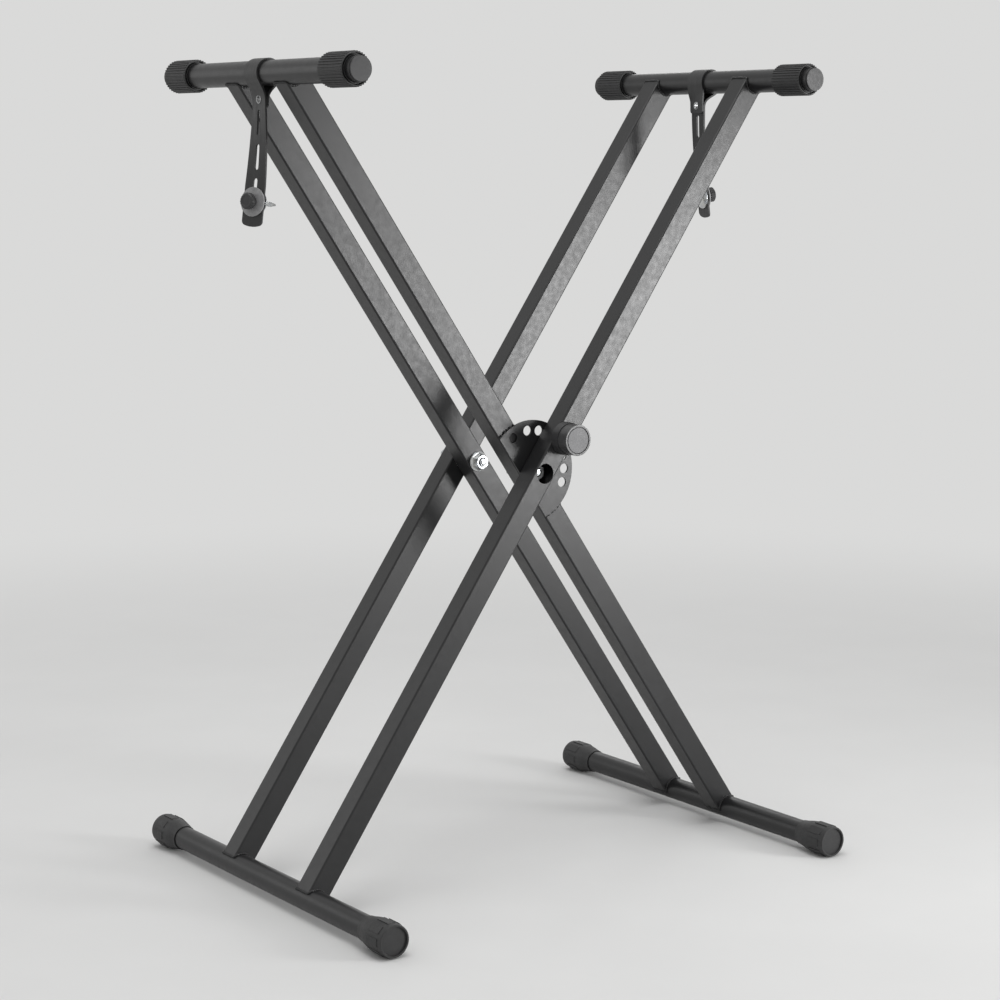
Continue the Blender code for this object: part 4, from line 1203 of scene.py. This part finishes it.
class STAND_OT_straps(bpy.types.Operator):
    """Makes the two slotted rubber straps"""
    bl_idname = "stand.straps"
    bl_label = "Straps"

    def execute(self, context):
        """Cuts a flat blank, then wraps it round the bar and lets it hang."""
        sizes = context.scene.stand_sizes
        width, thickness = sizes.strap_width, sizes.strap_thickness
        for tag, hang in HANGS.items():
            points = strap_line(hang)
            run = measured(points)
            length = run[-1]
            band = self.blank(f"strap_{tag}_band", length, width, thickness)
            for start, end in STRAP_SLOTS:
                low = distance_at(points, run, start, True) + STRAP_SLOT_HALF
                high = distance_at(points, run, end, True) - STRAP_SLOT_HALF
                carve(band, self.slot(low, high, thickness))
            for last in (False, True):
                hole = rod("eyelet_cutter", EYELET_RADIUS + CLEAR, -2 * thickness, 2 * thickness)
                along = distance_at(points, run, EYELET_Z, last)
                carve(band, settle(hole, Matrix.Translation((along, OFF_GRID, 0))))
            self.round_ends(band, length, width, thickness)
            round_edges(band, STRAP_ROUND, 2, 50.0)
            for vert in band.data.vertices:
                late = clamped((vert.co.x - length + STRAP_ARCH_FROM) / STRAP_ARCH_FROM)
                vert.co.x -= STRAP_ARCH * late * (2 * vert.co.y / width) ** 2
                vert.co = strap_point(hang, points, run, vert.co.x, vert.co.y, vert.co.z)
            edit(band)
            face_out()
            smooth(band, 40.0)
            dress(band, Matrix(), strap_rubber(), "rubber", f"strap_{tag}", f"strap_{tag}")
        return {"FINISHED"}

    def blank(self, name, length, width, thickness):
        """A flat band along X with raised rims."""
        columns, rows = STRAP_BLANK_STEPS
        begin()
        bpy.ops.mesh.primitive_grid_add(x_subdivisions=columns, y_subdivisions=rows, size=1.0,
                                        location=(0, 0, 0))
        piece = named(name)
        edit()
        bpy.ops.transform.resize(value=(length, width, 1.0), center_override=(0, 0, 0))
        bpy.ops.transform.translate(value=(length / 2, 0.0, -thickness / 2))
        bpy.ops.mesh.extrude_region_move(TRANSFORM_OT_translate={"value": (0, 0, thickness)})
        bpy.ops.mesh.select_all(action="SELECT")
        bpy.ops.mesh.normals_make_consistent(inside=False)
        pick_faces(piece, lambda place, normal: normal.z > 0.9 and abs(place.y) > width / 2 - STRAP_RIM_WIDTH
                   and STRAP_RIM_END < place.x < length - STRAP_RIM_END)
        bpy.ops.mesh.inset(thickness=STRAP_RIM_SLOPE, depth=STRAP_RIM)
        close()
        return piece

    def slot(self, low, high, thickness):
        """A cutter with round ends from one place along the band to another."""
        cutter = rod("slot_cutter", STRAP_SLOT_HALF, -2 * thickness, 2 * thickness, STRAP_SLOT_STEPS)
        edit()
        bpy.ops.mesh.select_all(action="DESELECT")
        bpy.ops.mesh.select_mode(type="VERT")
        mesh = bmesh.from_edit_mesh(cutter.data)
        for vert in mesh.verts:
            vert.select_set(vert.co.x > 1e-6)
        bmesh.update_edit_mesh(cutter.data)
        bpy.ops.transform.translate(value=(high - low, 0, 0))
        close()
        return settle(cutter, Matrix.Translation((low, OFF_GRID, 0)))

    def round_ends(self, band, length, width, thickness):
        """Rounds the four corners of the flat blank."""
        reach = STRAP_END_ROUND
        for x, inward in ((0.0, 1), (length, -1)):
            for side in (-1, 1):
                begin()
                bpy.ops.mesh.primitive_cube_add(size=1.0, location=(0, 0, 0))
                block = named("corner_cutter")
                settle(block, Matrix.Translation((x, side * width / 2, 0)) @ Matrix.Diagonal(
                    (2 * reach, 2 * reach, 4 * thickness, 1)))
                carve(block, settle(rod("corner_round", reach, -3 * thickness, 3 * thickness, PIN_STEPS),
                                    Matrix.Translation((x + inward * reach, side * (width / 2 - reach), 0))))
                carve(band, block)


# Eyelets, washers and thumb bolts on the straps

THUMB_RADIUS = 0.0024
THUMB_REACH = 0.0340
THUMB_LENGTH = 0.0100
THUMB_NECK_RADIUS = 0.0055
THUMB_NECK = 0.0030
THUMB_KNOB_RADIUS = 0.0083
THUMB_RIDGES = 20
WASHER_RADIUS = 0.0147
WASHER_THICKNESS = 0.0015
WASHER_ROUND = 0.0005
BACKING_RADIUS = 0.0142
BACKING_THICKNESS = 0.0040
STRAP_NUT_FLATS = 0.0080
STRAP_NUT = 0.0040
STRAP_NUT_CHAMFER = 0.0008
EYELET_RIM_RADIUS = 0.0044
EYELET_BORE = 0.0033
EYELET_ROLL = 0.0003
THUMB_PITCH = 0.0008
THUMB_POINT = 0.0060
THUMB_POINT_RADIUS = 0.0010
THUMB_RIDGE = 0.0006
THUMB_RIDGE_SLOPE = 0.0002
THUMB_RIDGE_ROUND = 0.00018
THUMB_LOW_SLOPE = 0.0007
THUMB_HIGH_SLOPE = 0.0009
# Radius and distance from the strap of the cup's stepped back
BACKING_STEPS = ((BACKING_RADIUS, 0.0010), (0.0131, 0.0024), (0.0122, 0.0030), (0.0104, 0.0037))
BACKING_BACK_RADIUS = 0.0085


def thumb_frame(tag):
    """Local Z along a thumb bolt, out of its strap, and local Y down the strap."""
    joint = joints[f"thumb_turn_{tag}"]
    out = Vector(joint["axis"]).normalized()
    down = Vector((0, 0, -1))
    down = (down - out * down.dot(out)).normalized()
    return Matrix.Translation(joint["pos_m"]) @ Matrix((down.cross(out), down, out)).transposed().to_4x4()


class STAND_OT_strap_fittings(bpy.types.Operator):
    """Makes the eyelets, washers, nuts and thumb bolts of the straps"""
    bl_idname = "stand.strap_fittings"
    bl_label = "Strap fittings"

    def execute(self, context):
        """Places the fittings on each strap's own lines."""
        thickness = context.scene.stand_sizes.strap_thickness
        face = thickness / 2 + CLEAR
        bore = THUMB_RADIUS + CLEAR
        back = -face - BACKING_THICKNESS
        low = face + WASHER_THICKNESS + CLEAR
        high = low + THUMB_LENGTH
        for tag, hang in HANGS.items():
            body = f"strap_{tag}"
            self.eyelet(tag, hang, thickness + CLEAR / 2 + CLEAR)
            place = thumb_frame(tag)
            disc = washer(f"strap_washer_{tag}_disc", WASHER_RADIUS, bore, face, face + WASHER_THICKNESS,
                          WASHER_ROUND)
            dress(disc, place, washer_plastic(), "plastic", body, f"strap_washer_{tag}")
            cup = turned(f"strap_backing_{tag}_cup", [
                (bore, -face), (BACKING_RADIUS, -face),
                *((radius, -face - deep) for radius, deep in BACKING_STEPS),
                (BACKING_BACK_RADIUS, back), (bore, back)], closed=True)
            soften(cup, SMALL_ROUND, 2, 24.0)
            dress(cup, place, zinc(), "zinc_steel", body, f"strap_backing_{tag}")
            nut = hexagon(f"strap_nut_{tag}_hexagon", STRAP_NUT_FLATS, back - CLEAR - STRAP_NUT, back - CLEAR,
                          STRAP_NUT_CHAMFER, bore)
            dress(nut, place, zinc(), "zinc_steel", body, f"strap_nut_{tag}")
            bolt = threaded(f"thumb_bolt_{tag}_threaded", THUMB_RADIUS, -low - 0.002, THUMB_REACH,
                            THUMB_PITCH, [(THUMB_RADIUS, 0.0026 - high), (THUMB_RADIUS, -low - 0.0025)],
                            THUMB_POINT, THUMB_POINT_RADIUS)
            dress(bolt, place @ Matrix.Rotation(math.pi, 4, "X"), zinc(), "zinc_steel", f"thumb_{tag}",
                  f"thumb_bolt_{tag}")
            self.thumb_knob(tag, place, low, high, bore)
        return {"FINISHED"}

    def eyelet(self, tag, hang, layers):
        """A rolled eyelet through the two layers of a strap under its bar."""
        top = layers + EYELET_ROLL
        outer, inner = EYELET_RIM_RADIUS - EYELET_ROLL, EYELET_BORE + EYELET_ROLL
        eyelet = turned(f"strap_eyelet_{tag}_rolled", [
            (EYELET_BORE, -layers), (inner, -top), (outer, -top), (EYELET_RIM_RADIUS, -layers),
            (EYELET_RADIUS, -layers), (EYELET_RADIUS, layers), (EYELET_RIM_RADIUS, layers), (outer, top),
            (inner, top), (EYELET_BORE, layers)], PIN_STEPS, closed=True)
        soften(eyelet, 0.0001, 2, 30.0, 40.0)
        turn = Matrix.Rotation(hang.side * -strap_turn(hang, EYELET_Z), 4, "Z")
        place = Matrix.Translation((hang.bar.x + hang.side * hang.shift, STRAP_Y, hang.bar.z - EYELET_Z))
        dress(eyelet, place @ turn @ Matrix.Rotation(math.pi / 2, 4, "Y"), dull_zinc(), "zinc_steel",
              f"strap_{tag}", f"strap_eyelet_{tag}")

    def thumb_knob(self, tag, place, low, high, bore):
        """A ridged knob with a neck and a dished face."""
        core = THUMB_KNOB_RADIUS - THUMB_RIDGE
        start = low + THUMB_NECK
        foot, shoulder = start + THUMB_LOW_SLOPE, high - THUMB_HIGH_SLOPE
        knob = turned(f"thumb_knob_{tag}_ridged", [
            (bore, high - 0.0023), (bore, low), (THUMB_NECK_RADIUS, low), (THUMB_NECK_RADIUS, start),
            (core - THUMB_LOW_SLOPE, start), (core, foot), (core, shoulder), (core - THUMB_HIGH_SLOPE, high),
            (core - 0.0022, high), (core - 0.0027, high - 0.0004)], 2 * THUMB_RIDGES)
        raise_ridges(knob, THUMB_RIDGES, core, foot, shoulder, THUMB_RIDGE_SLOPE, THUMB_RIDGE)
        soften(knob, THUMB_RIDGE_ROUND, 2, 30.0, 40.0)
        dress(knob, place, plastic(), "plastic", f"thumb_{tag}", f"thumb_knob_{tag}")


# Stage

CAMERA_PLACE = (-1.48281, -2.07920, 0.77393)
CAMERA_AZIMUTH = math.radians(-35.583)
CAMERA_ELEVATION = math.radians(8.463)
CAMERA_ROLL = math.radians(0.098)
CAMERA_LENS = 85.41
CAMERA_CLIP = (0.05, 200.0)
SENSOR_WIDTH = 36.0
FLOOR_RADIUS = 60.0
FLOOR_Z = -0.0002
# Distances between which the floor fades into the background's tone
FADE_FROM = 0.8
FADE_TO = 2.4
WORLD_STRENGTH = 0.56
# Place, target, width, height, power and spread of each lamp
LAMPS = {
    "key": ((1.20, -1.54, 0.52), (0.05, -0.05, 0.58), 0.5, 0.6, 7.6, 100.0),
    "overhead": ((-0.3, -0.2, 2.4), (0.0, 0.0, 0.4), 1.4, 1.4, 22.0, 180.0),
    "side": ((-1.6, 1.9, 1.1), (0.0, 0.0, 0.5), 0.7, 1.2, 3.0, 180.0),
    "back": ((1.43, 2.03, 1.50), (0.0, 0.0, 0.45), 0.9, 0.5, 3.0, 180.0),
}


def soft_light(name, place, target, width, height, power, spread_angle):
    """A rectangular lamp that looks at a point."""
    lamp = bpy.data.lights.new(name, "AREA")
    lamp.spread = math.radians(spread_angle)
    lamp.shape = "RECTANGLE"
    lamp.size = width
    lamp.size_y = height
    lamp.energy = power
    made = bpy.data.objects.new(name, lamp)
    bpy.context.collection.objects.link(made)
    made.location = place
    made.rotation_euler = (Vector(target) - Vector(place)).to_track_quat("-Z", "Y").to_euler()


def seen_rays(nodes, links):
    """One for the rays that show the surroundings: camera, glossy and transmission rays."""
    path = node(nodes, "LightPath")
    total = path.outputs["Is Camera Ray"]
    for kind in ("Is Glossy Ray", "Is Transmission Ray"):
        add = node(nodes, "Math")
        add.operation = "ADD"
        add.use_clamp = True
        links.new(total, add.inputs[0])
        links.new(path.outputs[kind], add.inputs[1])
        total = add.outputs["Value"]
    return total


class STAND_OT_stage(bpy.types.Operator):
    """Makes the pale floor, the soft lights and the camera"""
    bl_idname = "stand.stage"
    bl_label = "Stage"

    def execute(self, context):
        """Sets up everything round the stand."""
        tint = context.scene.stand_colours.floor
        begin()
        bpy.ops.mesh.primitive_circle_add(vertices=FINEST, radius=FLOOR_RADIUS, fill_type="NGON",
                                          location=(0, 0, FLOOR_Z))
        floor = named("floor")
        made = bpy.data.materials.new("floor_paper")
        made.use_nodes = True
        nodes, links = made.node_tree.nodes, made.node_tree.links
        shader = nodes["Principled BSDF"]
        shader.inputs["Roughness"].default_value = 0.75
        shader.inputs["Specular IOR Level"].default_value = 0.2
        tone = tint_between(nodes, links, grain(nodes, links, 6.0), times(tint, 0.985), times(tint, 1.01))
        links.new(tone, shader.inputs["Base Color"])
        glow = node(nodes, "Emission", Color=(*tint, 1.0))
        where = node(nodes, "TexCoord")
        far = node(nodes, "VectorMath")
        far.operation = "LENGTH"
        fade = node(nodes, "MapRange", From_Min=FADE_FROM, From_Max=FADE_TO)
        fade.interpolation_type = "SMOOTHSTEP"
        share = node(nodes, "Math")
        share.operation = "MULTIPLY"
        mix = node(nodes, "MixShader")
        links.new(where.outputs["Object"], far.inputs[0])
        links.new(far.outputs["Value"], fade.inputs["Value"])
        links.new(fade.outputs["Result"], share.inputs[0])
        links.new(seen_rays(nodes, links), share.inputs[1])
        links.new(share.outputs["Value"], mix.inputs["Fac"])
        links.new(shader.outputs["BSDF"], mix.inputs[1])
        links.new(glow.outputs["Emission"], mix.inputs[2])
        links.new(mix.outputs["Shader"], nodes["Material Output"].inputs["Surface"])
        floor.data.materials.append(made)
        self.world(tint)
        for name, values in LAMPS.items():
            soft_light(name, *values)
        self.camera(context)
        context.scene.view_settings.view_transform = "Standard"
        return {"FINISHED"}

    def camera(self, context):
        """A camera at the photograph's place and angle."""
        back = Vector((math.sin(CAMERA_AZIMUTH) * math.cos(CAMERA_ELEVATION),
                       -math.cos(CAMERA_AZIMUTH) * math.cos(CAMERA_ELEVATION), math.sin(CAMERA_ELEVATION)))
        right = Vector((math.cos(CAMERA_AZIMUTH), math.sin(CAMERA_AZIMUTH), 0.0))
        axes = Matrix((right, back.cross(right), back)).transposed().to_4x4()
        lens = bpy.data.cameras.new("camera")
        lens.sensor_width = SENSOR_WIDTH
        lens.lens = CAMERA_LENS
        lens.clip_start, lens.clip_end = CAMERA_CLIP
        camera = bpy.data.objects.new("camera", lens)
        context.collection.objects.link(camera)
        camera.matrix_world = Matrix.Translation(CAMERA_PLACE) @ axes @ Matrix.Rotation(CAMERA_ROLL, 4, "Z")
        context.scene.camera = camera

    def world(self, tint):
        """Soft light all round, seen by the camera as the floor's own tone."""
        world = bpy.data.worlds.new("studio")
        bpy.context.scene.world = world
        world.use_nodes = True
        nodes, links = world.node_tree.nodes, world.node_tree.links
        light = nodes["Background"]
        light.inputs["Color"].default_value = (1.0, 1.0, 1.0, 1.0)
        light.inputs["Strength"].default_value = WORLD_STRENGTH
        seen = node(nodes, "Background", Color=(*tint, 1.0), Strength=1.0)
        mix = node(nodes, "MixShader")
        links.new(seen_rays(nodes, links), mix.inputs["Fac"])
        links.new(light.outputs["Background"], mix.inputs[1])
        links.new(seen.outputs["Background"], mix.inputs[2])
        links.new(mix.outputs["Shader"], nodes["World Output"].inputs["Surface"])


MAKERS = (
    STAND_OT_legs, STAND_OT_bars, STAND_OT_welds, STAND_OT_sleeves, STAND_OT_plugs, STAND_OT_foot_caps,
    STAND_OT_lock_plate, STAND_OT_pivots, STAND_OT_pull_pin, STAND_OT_straps, STAND_OT_strap_fittings,
    STAND_OT_stage,
)


class STAND_PT_pieces(bpy.types.Panel):
    """Lists the pieces of the stand"""
    bl_idname = "STAND_PT_pieces"
    bl_label = "Keyboard stand"
    bl_space_type = "VIEW_3D"
    bl_region_type = "UI"
    bl_category = "Stand"

    def draw(self, context):
        """Shows the sizes, the colours and a button for each group of pieces."""
        for group in (context.scene.stand_sizes, context.scene.stand_colours):
            box = self.layout.box()
            for name in group.__annotations__:
                box.prop(group, name)
        for maker in MAKERS:
            self.layout.operator(maker.bl_idname)


CLASSES = (StandSizes, StandColours, *MAKERS, STAND_PT_pieces)


def register():
    """Registers the classes and the settings."""
    for item in CLASSES:
        bpy.utils.register_class(item)
    bpy.types.Scene.stand_sizes = PointerProperty(type=StandSizes)
    bpy.types.Scene.stand_colours = PointerProperty(type=StandColours)


def unregister():
    """Removes the settings and the classes."""
    del bpy.types.Scene.stand_colours
    del bpy.types.Scene.stand_sizes
    for item in reversed(CLASSES):
        bpy.utils.unregister_class(item)


def main():
    """Makes everything in order."""
    register()
    for maker in MAKERS:
        group, action = maker.bl_idname.split(".")
        getattr(getattr(bpy.ops, group), action)()


if __name__ == "__main__":
    main()
